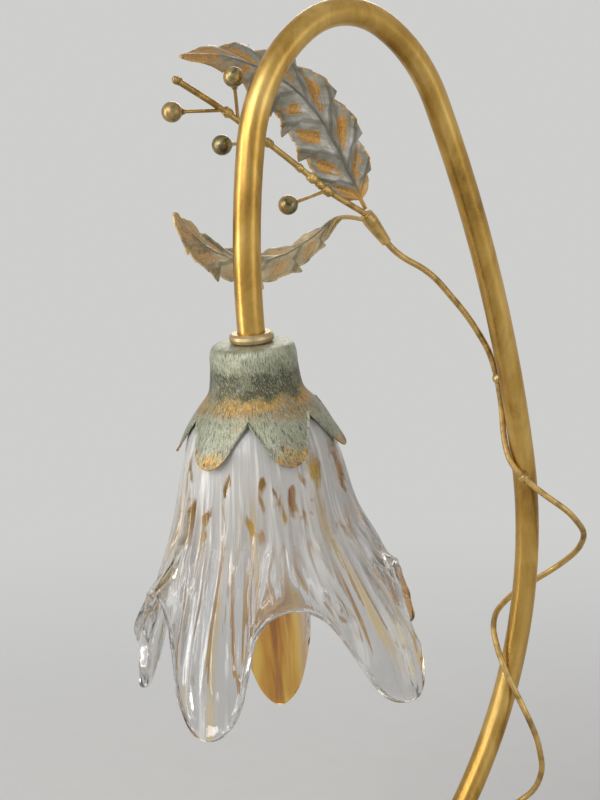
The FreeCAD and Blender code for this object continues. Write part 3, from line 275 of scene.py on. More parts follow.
# %% [markdown]
# ## Brass of the stem and the base
# The tube is old brass: a deep yellow with fine grain from brushing, brown where hands and cloths
# never reached, and brighter where they did. Two noises at different sizes carry the colour, and a
# very fine one breaks the highlight up so that it sparkles.
# %% Antique brass
def antique_brass(name, pale_tone, deep_tone, brown_tone, rough):
    brass = Finish(name)
    cloud = brass.grain(brass.place(brass.here, scale=(1, 1, 0.45)), 34, 5, 0.6, 0.4)
    fine = brass.grain(brass.here, 2600, 2, 0.6)
    streak = brass.grain(brass.place(brass.here, scale=(260, 260, 14)), 1, 3, 0.6)
    tone = brass.ramp(cloud, (0.28, brown_tone), (0.46, deep_tone), (0.72, pale_tone))
    tone = brass.mix(brass.spread(streak, 0.55, 0.8, 0, 0.35), tone, brown_tone)
    tone = brass.mix(brass.spread(fine, 0.45, 0.75, 0, 0.35), tone, pale_tone)
    brass.bump(brass.plus(brass.times(fine, 0.5), brass.times(streak, 0.4)), 0.00006)
    return brass.shine(tone, brass.plus(rough, brass.times(cloud, 0.18)), Metallic=1.0)


stem_brass = antique_brass("antique_brass", srgb("e2bf74"), srgb("b58d45"), srgb("6f5022"), 0.24)
for name in ("stem_tube", "base_cover", "base_collar"):
    dress(nodes[name], stem_brass)
ring_brass = antique_brass("beige_brass", srgb("d9c6a0"), srgb("b79f74"), srgb("7d6a48"), 0.34)
dress(nodes["neck_ring"], ring_brass)
print("brass on the stem, the base and the neck ring")

# %% [markdown]
# ## Dull gold of the wire
# Wire, sheath, twig and stalks are brass wire that was brushed with gold lacquer. It is duller than
# the tube, with dark stretches and a fine grain. The berries were painted olive and rubbed brown.
# %% Dull gold
def dull_gold(name, tone, dark, rough):
    gold = Finish(name)
    cloud = gold.grain(gold.here, 95, 4, 0.6, 0.6)
    fine = gold.grain(gold.here, 1500, 3, 0.6)
    mixed = gold.ramp(cloud, (0.30, dark), (0.52, tone), (0.78, tuple(min(1.0, c * 1.45) for c in tone)))
    mixed = gold.mix(gold.spread(fine, 0.5, 0.8, 0, 0.4), mixed, dark)
    gold.bump(gold.plus(fine, gold.times(cloud, 2.0)), 0.00012)
    return gold.shine(mixed, gold.plus(rough, gold.times(fine, 0.15)), Metallic=1.0)


wire_gold = dull_gold("dull_gold", srgb("cbab6c"), srgb("93784a"), 0.30)
for name in ("tendril", "leaf_sheath", "braze_beads", "berry_twig", "berry_stalks"):
    dress(nodes[name], wire_gold)

berry_green = Finish("olive_berry")
patch = berry_green.grain(berry_green.here, 130, 4, 0.6, 0.8)
speck = berry_green.grain(berry_green.here, 900, 3, 0.6)
berry_tone = berry_green.ramp(patch, (0.32, srgb("4b3a26")), (0.45, srgb("8d8256")), (0.56, srgb("b28e52")),
                              (0.70, srgb("6d6f55")))
berry_green.bump(berry_green.plus(speck, patch), 0.0001)
dress(nodes["berries"], berry_green.shine(berry_tone, berry_green.spread(speck, 0.3, 0.7, 0.24, 0.45),
                                          Metallic=0.75, Coat_Weight=0.3, Coat_Roughness=0.2))
print("gold on the wire, olive on the berries")

# %% [markdown]
# ## Patina of the calyx
# The pressed cup was painted in bands and rubbed back: a pale sage crown, an olive waist with fine
# upright scratches, a patchy gold band where the sepals spring, and sage sepals with gold tips.
# The bands follow the depth below the top, bent a little by noise so that none is a clean line.
# %% Calyx finish
PAINT_DEPTH, CUP_RADIUS = 0.055, 0.024
calyx = Finish("green_patina")
local = under_head(calyx)
deep = calyx.part(local)
turned = calyx.calc("ARCTAN2", deep[1], deep[0])
around = calyx.times(turned, CUP_RADIUS)
scratch_place = calyx.join(around, calyx.times(deep[2], 0.16), 0)
scratches = calyx.grain(scratch_place, 1700, 4, 0.65, 0.3)
slant = calyx.join(calyx.plus(calyx.times(around, 1.6), calyx.times(deep[2], 0.8)),
                   calyx.times(deep[2], 0.3), 0)
hatching = calyx.grain(slant, 1500, 4, 0.7, 0.5)
speckle = calyx.grain(calyx.here, 1400, 3, 0.7)
sway = calyx.grain(calyx.here, 130, 3, 0.6)
depth = calyx.times(deep[2], -1.0)
level = calyx.plus(calyx.calc("DIVIDE", depth, PAINT_DEPTH), calyx.spread(sway, 0.2, 0.8, -0.07, 0.07))
level = calyx.plus(level, calyx.spread(scratches, 0.2, 0.8, -0.045, 0.045))
BANDS = (
    # share of the painted depth, colour
    (0.02, "b9bba2"), (0.17, "96987c"),  # crown
    (0.24, "4d4d36"), (0.42, "5b5638"),  # waist
    (0.50, "c0953f"), (0.56, "ae8a58"),  # gold band
    (0.63, "a3a48c"), (0.86, "9fa18d"),  # sepals
    (0.92, "c99a45"), (1.0, "a97a35"),  # tips
)
bands = calyx.ramp(level, *[(share, srgb(code)) for share, code in BANDS])
patches = calyx.grain(calyx.here, 85, 3, 0.6, 0.4)
bands = calyx.mix(calyx.spread(patches, 0.48, 0.60, 0, 0.55), bands, srgb("8d8c72"))
rubbed = calyx.mix(calyx.spread(scratches, 0.48, 0.66, 0, 0.85), bands, srgb("37382a"))
rubbed = calyx.mix(calyx.spread(hatching, 0.52, 0.66, 0, 0.60), rubbed, srgb("d3d4c2"))
rubbed = calyx.mix(calyx.spread(speckle, 0.56, 0.70, 0, 0.5), rubbed, srgb("dddfd0"))
calyx.bump(calyx.plus(calyx.plus(scratches, hatching), speckle), 0.00026)
calyx_patina = calyx.shine(rubbed, calyx.spread(hatching, 0.3, 0.7, 0.28, 0.50), Metallic=0.6)
print("calyx painted over", round(PAINT_DEPTH * 1000), "mm of depth")

# %% [markdown]
# ## Finishes that hide inside
# Holder, base and bulb parts show only from below or when the ring and the bulb are taken off. Each
# still gets the surface of its real stuff, so the part can be opened in any other scene.
# %% Inner finishes
def plain_stuff(name, tone, second, rough, metal, size, depth_of_grain, **plain):
    stuff = Finish(name)
    blotch = stuff.grain(stuff.here, size, 4, 0.6)
    tooth = stuff.grain(stuff.here, size * 12, 3, 0.6)
    stuff.bump(tooth, depth_of_grain)
    return stuff.shine(stuff.mix(stuff.spread(blotch, 0.3, 0.7), tone, second),
                       stuff.plus(rough, stuff.times(tooth, 0.14)), Metallic=metal, **plain)


STUFFS = (
    # finish, two tones, roughness, metal, noise size, grain depth, nodes
    ("black_plastic", "1c1b1a", "272523", 0.34, 0.0, 90, 0.00003,
     "holder_cap holder_skirt shade_ring inlet_bush"),
    ("porcelain", "e9e5da", "ddd6c6", 0.16, 0.0, 60, 0.00002, "holder_insert terminal_block bulb_insulator"),
    ("zinc_steel", "b9bcbd", "8f9394", 0.30, 1.0, 120, 0.00003,
     "foot_rod head_rod foot_washer foot_nut calyx_nut terminal_screws block_screw earth_screw"),
    ("bare_brass", "c9a24f", "a98238", 0.24, 1.0, 150, 0.00003, "thread_shell centre_contact bulb_contact"),
    ("nickel_cap", "c9c8c2", "a5a49c", 0.22, 1.0, 140, 0.00003, "bulb_cap"),
    ("cast_iron", "3a3a3a", "50504e", 0.55, 0.8, 70, 0.0003, "base_weight"),
    ("felt", "23402f", "2f5240", 0.90, 0.0, 300, 0.0004, "base_felt"),
    ("fibre", "8d5f3e", "754b30", 0.70, 0.0, 200, 0.0001, "shade_washer"),
    ("cable_sheath", "e4e0d6", "d2cdc0", 0.45, 0.0, 100, 0.00004, "inner_cable"),
    ("bulb_core", "dcdad2", "c8c5ba", 0.30, 0.0, 100, 0.00002, "bulb_core"),
    ("opal_glass", "f6f4ee", "eeebe2", 0.14, 0.0, 40, 0.00001, "bulb_envelope"),
)
for name, tone, second, rough, metal, size, grain_depth, wearers in STUFFS:
    stuff = plain_stuff(name, srgb(tone), srgb(second), rough, metal, size, grain_depth)
    for wearer in wearers.split():
        dress(nodes[wearer], stuff)
print(len(STUFFS), "inner finishes")

# %% [markdown]
# ## Smooth lines through a few points
# Leaves follow a curved spine. A line that passes through a handful of points and turns smoothly at
# each is easy to read and to change by hand.
# %% Helper for spines
def along_line(points, share):
    """Point at a share (0 to 1) of a smooth line through the points."""
    reach = share * (len(points) - 1)
    start = min(int(reach), len(points) - 2)
    t = reach - start
    p = [points[min(max(start + i, 0), len(points) - 1)] for i in (-1, 0, 1, 2)]
    return 0.5 * ((2 * p[1]) + (p[2] - p[0]) * t + (2 * p[0] - 5 * p[1] + 4 * p[2] - p[3]) * t ** 2
                  + (3 * p[1] - p[0] - 3 * p[2] + p[3]) * t ** 3)


def rise(value):
    """0 below 0, 1 above 1 and a smooth rise between."""
    value = min(max(value, 0.0), 1.0)
    return value * value * (3 - 2 * value)


def sheet_from_grid(name, columns, rows):
    """A flat unit grid, ready to be shaped: x runs from -0.5 to 0.5, y as well."""
    bpy.ops.object.select_all(action="DESELECT")
    bpy.ops.mesh.primitive_grid_add(x_subdivisions=columns, y_subdivisions=rows, size=1)
    piece = bpy.context.object
    piece.name = name
    return piece


def in_edit(piece, *steps):
    """Runs edit mode operators on the whole of a piece."""
    bpy.ops.object.select_all(action="DESELECT")
    piece.select_set(True)
    bpy.context.view_layer.objects.active = piece
    bpy.ops.object.mode_set(mode="EDIT")
    bpy.ops.mesh.select_all(action="SELECT")
    for step in steps:
        step()
    bpy.ops.object.mode_set(mode="OBJECT")


def apply_last(piece, kind, **settings):
    """Adds a modifier, sets it and applies it."""
    bpy.context.view_layer.objects.active = piece
    modifier = piece.modifiers.new(kind.lower(), kind)
    for name, value in settings.items():
        setattr(modifier, name, value)
    bpy.ops.object.modifier_apply(modifier=modifier.name)


THREE_POINTS = [Vector((0, 0, 0)), Vector((1, 1, 0)), Vector((2, 0, 0))]
print("a spine of three points passes", along_line(THREE_POINTS, 0.5))

# %% [markdown]
# ## The calyx
# The real calyx is one pressed sheet: a cup, a hollow waist, and six sepals that meet in sharp
# notches and curl up a little at their edges. A grid is wrapped round the head's axis and follows a
# profile down to the sepals. Solidify gives the sheet its wall.
# %% Shape the calyx
CUP_PROFILE = (
    # radius and depth, in millimetres
    (5.2, 0), (10.8, 0), (16.2, 0.1), (20.4, 1.3), (22.0, 5.6), (22.3, 11.8), (23.2, 19.6),
    (24.3, 24.4), (26.6, 28),
)
CUP = [Vector((radius, 0, depth)) / 1000 for radius, depth in CUP_PROFILE]
CUP_SHARE, SEPALS, FIRST_SEPAL = 0.5, 6, 15
SEPAL_NOTCH, SEPAL_TIP = Vector((0.0308, 0, 0.0332)), Vector((0.0436, 0, 0.0552))
CALYX_WALL, CALYX_COLUMNS, CALYX_ROWS = 0.0008, 360, 64


def calyx_point(turn, down):
    """Point of the calyx's outer skin: turn runs once round it, down from the hole to the rim."""
    local = (turn * SEPALS) % 1
    aside = abs(local - round(local)) * 2
    if down <= CUP_SHARE:
        profile = along_line(CUP, down / CUP_SHARE)
        radius, depth = profile.x, profile.z
    else:
        share = (down - CUP_SHARE) / (1 - CUP_SHARE)
        end = SEPAL_NOTCH.lerp(SEPAL_TIP, 1 - aside ** 1.55)
        radius = CUP[-1].x + (end.x - CUP[-1].x) * (1.45 * share - 0.45 * share ** 2)
        depth = CUP[-1].z + (end.z - CUP[-1].z) * share
        crease = math.exp(-(aside / 0.10) ** 2) * 0.0006 * share
        curl = 0.0011 * rise((aside - 0.55) / 0.45) * share ** 2 + 0.0009 * rise((share - 0.88) / 0.12)
        radius += curl - crease
    bulge = 0.022 * math.sin(4 * math.pi * local) * rise((down - CUP_SHARE) / 0.4)
    angle = math.radians(FIRST_SEPAL + 360 * turn + 360 / SEPALS * bulge)
    return Vector((radius * math.cos(angle), radius * math.sin(angle), -depth))


pressed = sheet_from_grid("calyx_pressed", CALYX_COLUMNS, CALYX_ROWS)
for vertex in pressed.data.vertices:
    vertex.co = HEAD @ calyx_point(vertex.co.x + 0.5, vertex.co.y + 0.5)
in_edit(pressed, lambda: bpy.ops.mesh.remove_doubles(threshold=1e-6),
        lambda: bpy.ops.mesh.normals_make_consistent(inside=False))
lid = max(pressed.data.polygons, key=lambda face: face.center.z)
outward = 1 if lid.normal.z > 0 else -1
apply_last(pressed, "SOLIDIFY", thickness=CALYX_WALL, offset=-outward)
in_edit(pressed, lambda: bpy.ops.mesh.normals_make_consistent(inside=False))
bpy.ops.object.shade_smooth_by_angle(angle=math.radians(40))
dress(pressed, calyx_patina)
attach(pressed, "lamp")
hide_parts("calyx")
print(len(pressed.data.polygons), "faces in the calyx")

# %% [markdown]
# ## The leaves
# Each leaf is a thin sheet, embossed from below: a midrib, side veins that run to the teeth, and
# swellings between them. A grid is laid along the spine, its width is cut into teeth and lobes, the
# veins lift it, Solidify gives it a wall, and Bevel breaks its edges.
# %% Leaf builder
KNOT = Vector((-0.01714, 0.0240, 0.47374))
FACING = Vector((-0.6, -0.77, 0.2))
LEAF_WALL, LEAF_EDGE, LEAF_COLUMNS, LEAF_ROWS = 0.0009, 0.00022, 160, 44
STALK_HALF, MIDRIB_DEPTH, SWELL_HEIGHT, RUFFLE_HEIGHT = 0.0011, 0.0013, 0.0011, 0.0016
SIDE_SHIFT = 0.35  # the veins of one side spring this share of a step ahead of the other's


def leaf(node, spine, width, lean, curl, veins, notch, belly):
    """A toothed leaf along a spine; a larger belly moves its widest place towards the tip."""
    piece = sheet_from_grid(node + "_blade", LEAF_COLUMNS, LEAF_ROWS)
    points = [KNOT + Vector(point) / 1000 for point in spine]
    for vertex in piece.data.vertices:
        share, side_share = vertex.co.x + 0.5, vertex.co.y * 2
        centre = along_line(points, share)
        ahead, back = along_line(points, min(share + 0.01, 1)), along_line(points, max(share - 0.01, 0))
        way = (ahead - back).normalized()
        side = Matrix.Rotation(math.radians(lean + curl * share), 3, way) @ way.cross(FACING).normalized()
        up = way.cross(side).normalized()
        edge = abs(side_share)
        blade = math.sin(math.pi * min(max((share - 0.1) / 0.9, 0), 1) ** belly) ** 0.75
        shift = SIDE_SHIFT if side_share > 0 else 0.0
        phase = veins * share + shift
        tooth = (phase % 1.0) ** 1.4
        small = (phase * 3 % 1.0)
        half = width / 2 * blade * (1.12 - notch * tooth - 0.05 * small)
        half = max(half, STALK_HALF)
        vein = veins * share - 0.55 * edge * veins / 5 + shift
        ridge = math.cos(2 * math.pi * vein)
        swell = SWELL_HEIGHT * blade * ridge * math.sin(math.pi * min(edge * 1.05, 1)) ** 0.8
        midrib = MIDRIB_DEPTH * math.exp(-(edge / 0.10) ** 2) * (1 - 0.5 * share)
        fold = 0.17 * half * edge
        ruffle = RUFFLE_HEIGHT * blade * edge ** 3 * math.sin(2 * math.pi * vein + 0.8)
        vertex.co = centre + side * (half * side_share) + up * (fold + swell + ruffle) - up * midrib
    apply_last(piece, "SOLIDIFY", thickness=LEAF_WALL, offset=0)
    apply_last(piece, "BEVEL", width=LEAF_EDGE, segments=2, limit_method="ANGLE",
               angle_limit=math.radians(50))
    in_edit(piece, lambda: bpy.ops.mesh.remove_doubles(threshold=1e-6),
            lambda: bpy.ops.mesh.normals_make_consistent(inside=False))
    bpy.ops.object.shade_smooth_by_angle(angle=math.radians(50))
    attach(piece, "lamp")
    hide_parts(node)
    print(node, len(piece.data.polygons), "faces")
    return piece


# %% Leaf spines
UPPER_SPINE = ((-0.5, 0, 3.2), (-4.8, 2, 12), (-12.4, 4.2, 27.2), (-25.6, 6, 48.5), (-43.6, 8.5, 66.6),
               (-67.1, 9.5, 77.4), (-92.5, 6.5, 82.6), (-118.8, 2, 82))
LOWER_SPINE = ((-1.5, 0, -2.6), (-14.7, 5.4, -1.5), (-30.5, 7, -11.3), (-49.4, 8, -20), (-71.8, 9, -22.9),
               (-94.1, 9, -16.4), (-109, 8, -6.8), (-121.6, 6, 5.4))
UPPER_VEINS, LOWER_VEINS = 8, 7
upper_leaf = leaf("upper_leaf", UPPER_SPINE, 0.040, 8, 34, UPPER_VEINS, 0.22, 0.8)
lower_leaf = leaf("lower_leaf", LOWER_SPINE, 0.033, 40, 20, LOWER_VEINS, 0.34, 1.35)

# %% Leaf patina
def leaf_patina(name, veins, ground, shadow, light, gold, copper, share):
    """Patina that follows the veins by the leaf's own map: x runs along it and y across it."""
    leafy = Finish(name)
    on_leaf = leafy.tree.nodes.new("ShaderNodeTexCoord").outputs["UV"]
    spot = leafy.part(on_leaf)
    aside = leafy.times(leafy.calc("SUBTRACT", spot[1], 0.5), 2.0)
    edge = leafy.calc("ABSOLUTE", aside)
    cloud = leafy.grain(leafy.here, 55, 5, 0.6, 0.5)
    speck = leafy.grain(leafy.here, 1100, 4, 0.65)
    fray = leafy.spread(leafy.grain(leafy.here, 240, 3, 0.6), 0.2, 0.8, -0.16, 0.16)
    phase = leafy.calc("SUBTRACT", leafy.times(spot[0], veins), leafy.times(edge, 0.11 * veins))
    phase = leafy.plus(phase, leafy.times(leafy.calc("GREATER_THAN", aside, 0.0), SIDE_SHIFT))
    wave = leafy.calc("COSINE", leafy.times(phase, 2 * math.pi))
    swelling = leafy.spread(leafy.plus(wave, fray), -0.05, 0.35)
    swelling = leafy.times(swelling, leafy.spread(leafy.plus(edge, fray), 0.14, 0.26))
    swelling = leafy.times(swelling, leafy.spread(leafy.plus(edge, fray), 0.62, 0.86, 1, 0))
    kept = leafy.spread(leafy.grain(leafy.here, 70, 2, 0.5), share - 0.05, share + 0.05)
    swelling = leafy.times(swelling, kept)
    vein = leafy.spread(wave, -0.97, -0.80, 1, 0)
    tone = leafy.ramp(cloud, (0.30, shadow), (0.47, ground), (0.66, light))
    tone = leafy.mix(leafy.times(vein, 0.55), tone, shadow)
    tone = leafy.mix(leafy.times(leafy.spread(edge, 0.02, 0.06, 1, 0), 0.8), tone, shadow)
    metal_tone = leafy.mix(leafy.spread(speck, 0.35, 0.65), copper, gold)
    tone = leafy.mix(swelling, tone, metal_tone)
    rim = leafy.spread(leafy.plus(edge, fray), 0.93, 1.0)
    tone = leafy.mix(leafy.times(rim, 0.8), tone, gold)
    tip = leafy.spread(leafy.plus(spot[0], fray), 0.72, 0.95)
    tone = leafy.mix(leafy.times(tip, 0.75), tone, metal_tone)
    root = leafy.spread(spot[0], 0.10, 0.22, 1, 0)
    tone = leafy.mix(leafy.times(root, 0.85), tone, gold)
    tone = leafy.mix(leafy.spread(speck, 0.56, 0.76, 0, 0.45), tone, light)
    line_place = leafy.join(leafy.times(phase, 0.25), leafy.times(edge, 0.02), 0)
    lines = leafy.grain(line_place, 60, 3, 0.6)
    tone = leafy.mix(leafy.spread(lines, 0.5, 0.75, 0, 0.45), tone, shadow)
    leafy.bump(leafy.plus(speck, lines), 0.00018)
    return leafy.shine(tone, leafy.spread(speck, 0.3, 0.7, 0.30, 0.52), Metallic=0.6)


dress(upper_leaf, leaf_patina("leaf_patina", UPPER_VEINS, srgb("9a988a"), srgb("625f52"), srgb("c4c2ba"),
                              srgb("dbab58"), srgb("b17f45"), 0.38))
dress(lower_leaf, leaf_patina("leaf_patina_pale", LOWER_VEINS, srgb("b8ab8a"), srgb("716d58"), srgb("dccba6"),
                              srgb("e0bf80"), srgb("c6a27e"), 0.36))
print("leaves dressed")

# %% [markdown]
# ## Knots on the twig
# Where stalks and shoots were brazed to the twig, small drops of metal stayed behind. Each starts
# as a small ball, is stretched along the twig and roughened, and all are joined into one piece.
# %% Twig knots
TWIG = ((-25.3, 1.5, 13.2), (-44.9, 2.6, 26.9), (-64.7, 3.2, 39.8), (-93.5, 3, 57), (-121.1, 3, 71))
DROPS = (
    # share of the twig's length, radius
    (0.02, 0.0027), (0.09, 0.0022), (0.15, 0.0026), (0.24, 0.0021), (0.50, 0.0024), (0.60, 0.0020),
    (0.72, 0.0025), (0.985, 0.0021),
)
WOBBLE, WAVES_ACROSS, WAVES_ALONG = 0.16, 2600, 1900
twig_points = [KNOT + Vector(point) / 1000 for point in TWIG]
drops = []
for share, radius in DROPS:
    bpy.ops.object.select_all(action="DESELECT")
    centre = along_line(twig_points, share)
    way = along_line(twig_points, min(share + 0.02, 1)) - along_line(twig_points, max(share - 0.02, 0))
    bpy.ops.mesh.primitive_ico_sphere_add(subdivisions=3, radius=radius)
    drop = bpy.context.object
    turn = way.to_track_quat("Z", "Y").to_matrix().to_4x4()
    stretch = Matrix.Diagonal((1, 1, 1.5, 1))
    for vertex in drop.data.vertices:
        across_wave = math.sin(vertex.co.x * WAVES_ACROSS + share * 9)
        along_wave = math.cos(vertex.co.z * WAVES_ALONG + share * 5)
        vertex.co = vertex.co * (1 + WOBBLE * across_wave * along_wave)
    drop.data.transform(Matrix.Translation(centre) @ turn @ stretch)
    drops.append(drop)
bpy.ops.object.select_all(action="DESELECT")
for drop in drops:
    drop.select_set(True)
bpy.context.view_layer.objects.active = drops[0]
bpy.ops.object.join()
twig_knots = bpy.context.object
twig_knots.name = "twig_knots"
bpy.ops.object.shade_smooth()
dress(twig_knots, wire_gold)
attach(twig_knots, "lamp")
print(len(drops), "drops on the twig")

# %% [markdown]
# ## The glass flower
# The real flower is a blown bubble, opened and pulled into five petals while soft, so its wall has
# drawn folds and a thick fire-rounded lip. Its outer skin is worked out from the same net of points
# as the solid, then the folds, the turned lips and the knobs are pushed into it. One grid runs down
# the outside, round the lip and up the inside, and its seam is merged.
# %% The net of the flower
COLLAR_DEPTH = 0.0292
HOLE, COLLAR, SHOULDER, WAIST, SKIRT = 0.0143, 0.022, 0.036, 0.042, 0.046
SHOULDER_DEPTH, WAIST_DEPTH, SKIRT_DEPTH = 0.013, 0.040, 0.062
NOTCH_RADIUS, NOTCH_DEPTH = 0.061, 0.090
PETALS = (
    # angle from +X, depth of the tip below the collar, radius of the tip
    (-160, 0.156, 0.076),
    (-77, 0.142, 0.093),
    (-19, 0.134, 0.080),
    (55, 0.196, 0.062),
    (134, 0.156, 0.080),
)
PER_PETAL, PETAL_ROWS = 12, 5
STATIONS = (
    (HOLE, 0), ((HOLE + COLLAR) / 2, 0), (COLLAR, 0),
    (COLLAR * 0.6 + SHOULDER * 0.4, SHOULDER_DEPTH * 0.22), (SHOULDER, SHOULDER_DEPTH),
    ((SHOULDER + WAIST) / 2 + 0.0006, (SHOULDER_DEPTH + WAIST_DEPTH) / 2),
    (WAIST, WAIST_DEPTH), (SKIRT, SKIRT_DEPTH),
)


def flower_net():
    """Rows of points from the collar to the rim, in the head's own axes."""
    columns = []
    for number, (angle, depth_of_tip, reach) in enumerate(PETALS):
        before = PETALS[number - 1][0] - (360 if number == 0 else 0)
        after = PETALS[(number + 1) % len(PETALS)][0] + (360 if number == len(PETALS) - 1 else 0)
        left, right = (before + angle) / 2, (angle + after) / 2
        for j in range(PER_PETAL):
            share = j / PER_PETAL
            turn = 2 * math.pi * share
            sideways = 0.045 * math.sin(2 * turn) + 0.012 * math.sin(turn)
            half = angle - left if share < 0.5 else right - angle
            columns.append((angle + (share - 0.5) * 2 * half, sideways * 2 * half, (1 - math.cos(turn)) / 2,
                            depth_of_tip, reach))
    rows = [[(radius, middle, depth_there) for middle, *_ in columns] for radius, depth_there in STATIONS]
    for step in range(1, PETAL_ROWS + 1):
        share = step / PETAL_ROWS
        row = []
        for middle, sideways, length, depth_of_tip, reach in columns:
            end_radius = NOTCH_RADIUS + (reach - NOTCH_RADIUS) * length
            end_depth = NOTCH_DEPTH + (depth_of_tip - NOTCH_DEPTH) * length
            row.append((SKIRT + (end_radius - SKIRT) * (1.15 * share - 0.15 * share ** 2),
                        middle + sideways * rise(share * 1.1),
                        SKIRT_DEPTH + (end_depth - SKIRT_DEPTH) * share))
        rows.append(row)
    return [[Vector((r * math.cos(math.radians(a)), r * math.sin(math.radians(a)), -COLLAR_DEPTH - d))
             for r, a, d in row] for row in rows]


net = flower_net()
print(len(net), "rows of", len(net[0]), "points")

# %% Smooth skin over the net
def weights(t):
    """Shares of four neighbouring points in a smooth cubic curve."""
    return ((1 - t) ** 3 / 6, (3 * t ** 3 - 6 * t ** 2 + 4) / 6,
            (-3 * t ** 3 + 3 * t ** 2 + 3 * t + 1) / 6, t ** 3 / 6)


def padded_rows(rows):
    """Adds a mirrored row at each end, so that the smooth skin starts and ends on the net."""
    first = [2 * a - b for a, b in zip(rows[0], rows[1])]
    last = [2 * a - b for a, b in zip(rows[-1], rows[-2])]
    return [first, *rows, last]


skin_rows = padded_rows(net)


def skin_point(petal_place, down):
    """Point of the outer skin: petal_place counts petals round it, down runs from collar to rim."""
    reach = down * (len(net) - 1)
    row = min(int(reach), len(net) - 2)
    column_place = petal_place * PER_PETAL
    column = math.floor(column_place)
    across_shares, down_shares = weights(column_place - column), weights(reach - row)
    total = Vector()
    for i, down_share in enumerate(down_shares):
        line = skin_rows[row + i]
        for j, across_share in enumerate(across_shares):
            total += line[(column + j - 1) % len(line)] * (down_share * across_share)
    return total


def skin_normal(petal_place, down):
    """Outward direction of the skin."""
    step = 0.004
    downward = skin_point(petal_place, min(down + step, 1)) - skin_point(petal_place, max(down - step, 0))
    sideways = skin_point(petal_place + 0.02, down) - skin_point(petal_place - 0.02, down)
    return downward.cross(sideways).normalized()


print("rim of the first petal at", [round(value, 4) for value in skin_point(0.5, 1)])

# %% Folds, lips and knobs
FOLDS = (
    # how many in a petal, height, sway, phase
    (3.0, 0.0024, 0.20, 0.10),
    (5.0, 0.0030, 0.26, 0.55),
    (8.0, 0.0014, 0.40, 0.25),
    (13.0, 0.0004, 0.6, 0.80),
)


def fold_height(petal_place, down):
    """How far the drawn folds stand out of the skin: narrow crests and wide valleys."""
    start = rise((down - 0.40) / 0.22)
    height = 0.0
    for count, tall, sway, phase in FOLDS:
        wave = petal_place * count + phase + sway * math.sin(down * 7 + petal_place * 1.3 + phase * 6)
        crest = (0.5 + 0.5 * math.cos(2 * math.pi * wave)) ** 3
        fade = 0.55 + 0.45 * math.sin(petal_place * 2.7 + phase * 11 + down * 4)
        height += tall * fade * (crest - 0.3)
    return height * start * (1 - 0.6 * rise((down - 0.90) / 0.10))


LIP_BEAD, NOTCH_FLARE, TIP_DRAW = 0.0006, 0.0042, 0.0037


def lip_flare(petal_place, down):
    """How far the lip is turned out: in the notches outward, at the tips a little inward."""
    share = petal_place % 1
    notch = 0.5 + 0.5 * math.cos(2 * math.pi * share)
    bead = LIP_BEAD * rise((down - 0.965) / 0.03)
    return bead + rise((down - 0.86) / 0.14) ** 1.5 * (NOTCH_FLARE * notch - TIP_DRAW * (1 - notch))


KNOBS = (
    # petal place, how far down, width in petals, height down, how far out
    (4.72, 0.90, 0.10, 0.05, 0.0062),
    (1.24, 0.84, 0.09, 0.06, 0.0045),
    (2.62, 0.93, 0.12, 0.06, 0.0060),
    (1.80, 0.86, 0.10, 0.06, 0.0040),
)


def knob_height(petal_place, down):
    """Rounded folds where the soft glass was pinched."""
    total = 0.0
    for place, level_of_knob, wide, tall, out in KNOBS:
        aside = (petal_place - place + 2.5) % 5 - 2.5
        total += out * math.exp(-(aside / wide) ** 2 - ((down - level_of_knob) / tall) ** 2)
    return total


THIN_WALL, DRAWN_WALL = 0.0032, 0.0018


def wall(petal_place, down):
    """Thickness of the glass: thicker towards the tips, where it was drawn."""
    share = petal_place % 1
    tip = (1 - math.cos(2 * math.pi * share)) / 2
    drawn = rise((down - 0.6) / 0.4)
    return THIN_WALL + DRAWN_WALL * drawn * (0.35 + 0.65 * tip)


print("tallest knob", max(knob[4] for knob in KNOBS) * 1000, "mm")

# %% Shape the glass
OUTER_ROWS, LIP_ROWS, INNER_ROWS, AROUND = 118, 8, 70, 340
total_rows = OUTER_ROWS + LIP_ROWS + INNER_ROWS
glass = sheet_from_grid("glass_flower", AROUND, total_rows)


def glass_point(petal_place, row):
    """Point of the closed wall: rows run down the outside, round the lip and up the inside."""
    if row <= OUTER_ROWS:
        down = row / OUTER_ROWS
        out = fold_height(petal_place, down) + lip_flare(petal_place, down) + knob_height(petal_place, down)
        return skin_point(petal_place, down) + skin_normal(petal_place, down) * out
    outer_end = glass_point(petal_place, OUTER_ROWS)
    normal, thick = skin_normal(petal_place, 1), wall(petal_place, 1)
    if row < OUTER_ROWS + LIP_ROWS:
        turn = math.pi * (row - OUTER_ROWS) / LIP_ROWS
        along = (skin_point(petal_place, 1) - skin_point(petal_place, 0.99)).normalized()
        return (outer_end - normal * (thick / 2 * (1 - math.cos(turn)))
                + along * (thick / 2 * math.sin(turn) * 0.9))
    down = 1 - (row - OUTER_ROWS - LIP_ROWS) / INNER_ROWS
    out = lip_flare(petal_place, down) + knob_height(petal_place, down) * 0.85
    out += fold_height(petal_place, down) * rise((down - 0.85) / 0.15)
    return skin_point(petal_place, down) + skin_normal(petal_place, down) * (out - wall(petal_place, down))


for vertex in glass.data.vertices:
    petal_place = (vertex.co.x + 0.5) * len(PETALS)
    row = round((vertex.co.y + 0.5) * total_rows)
    vertex.co = glass_point(petal_place, row)
in_edit(glass, lambda: bpy.ops.mesh.remove_doubles(threshold=1e-6))
print(len(glass.data.vertices), "points in the glass")

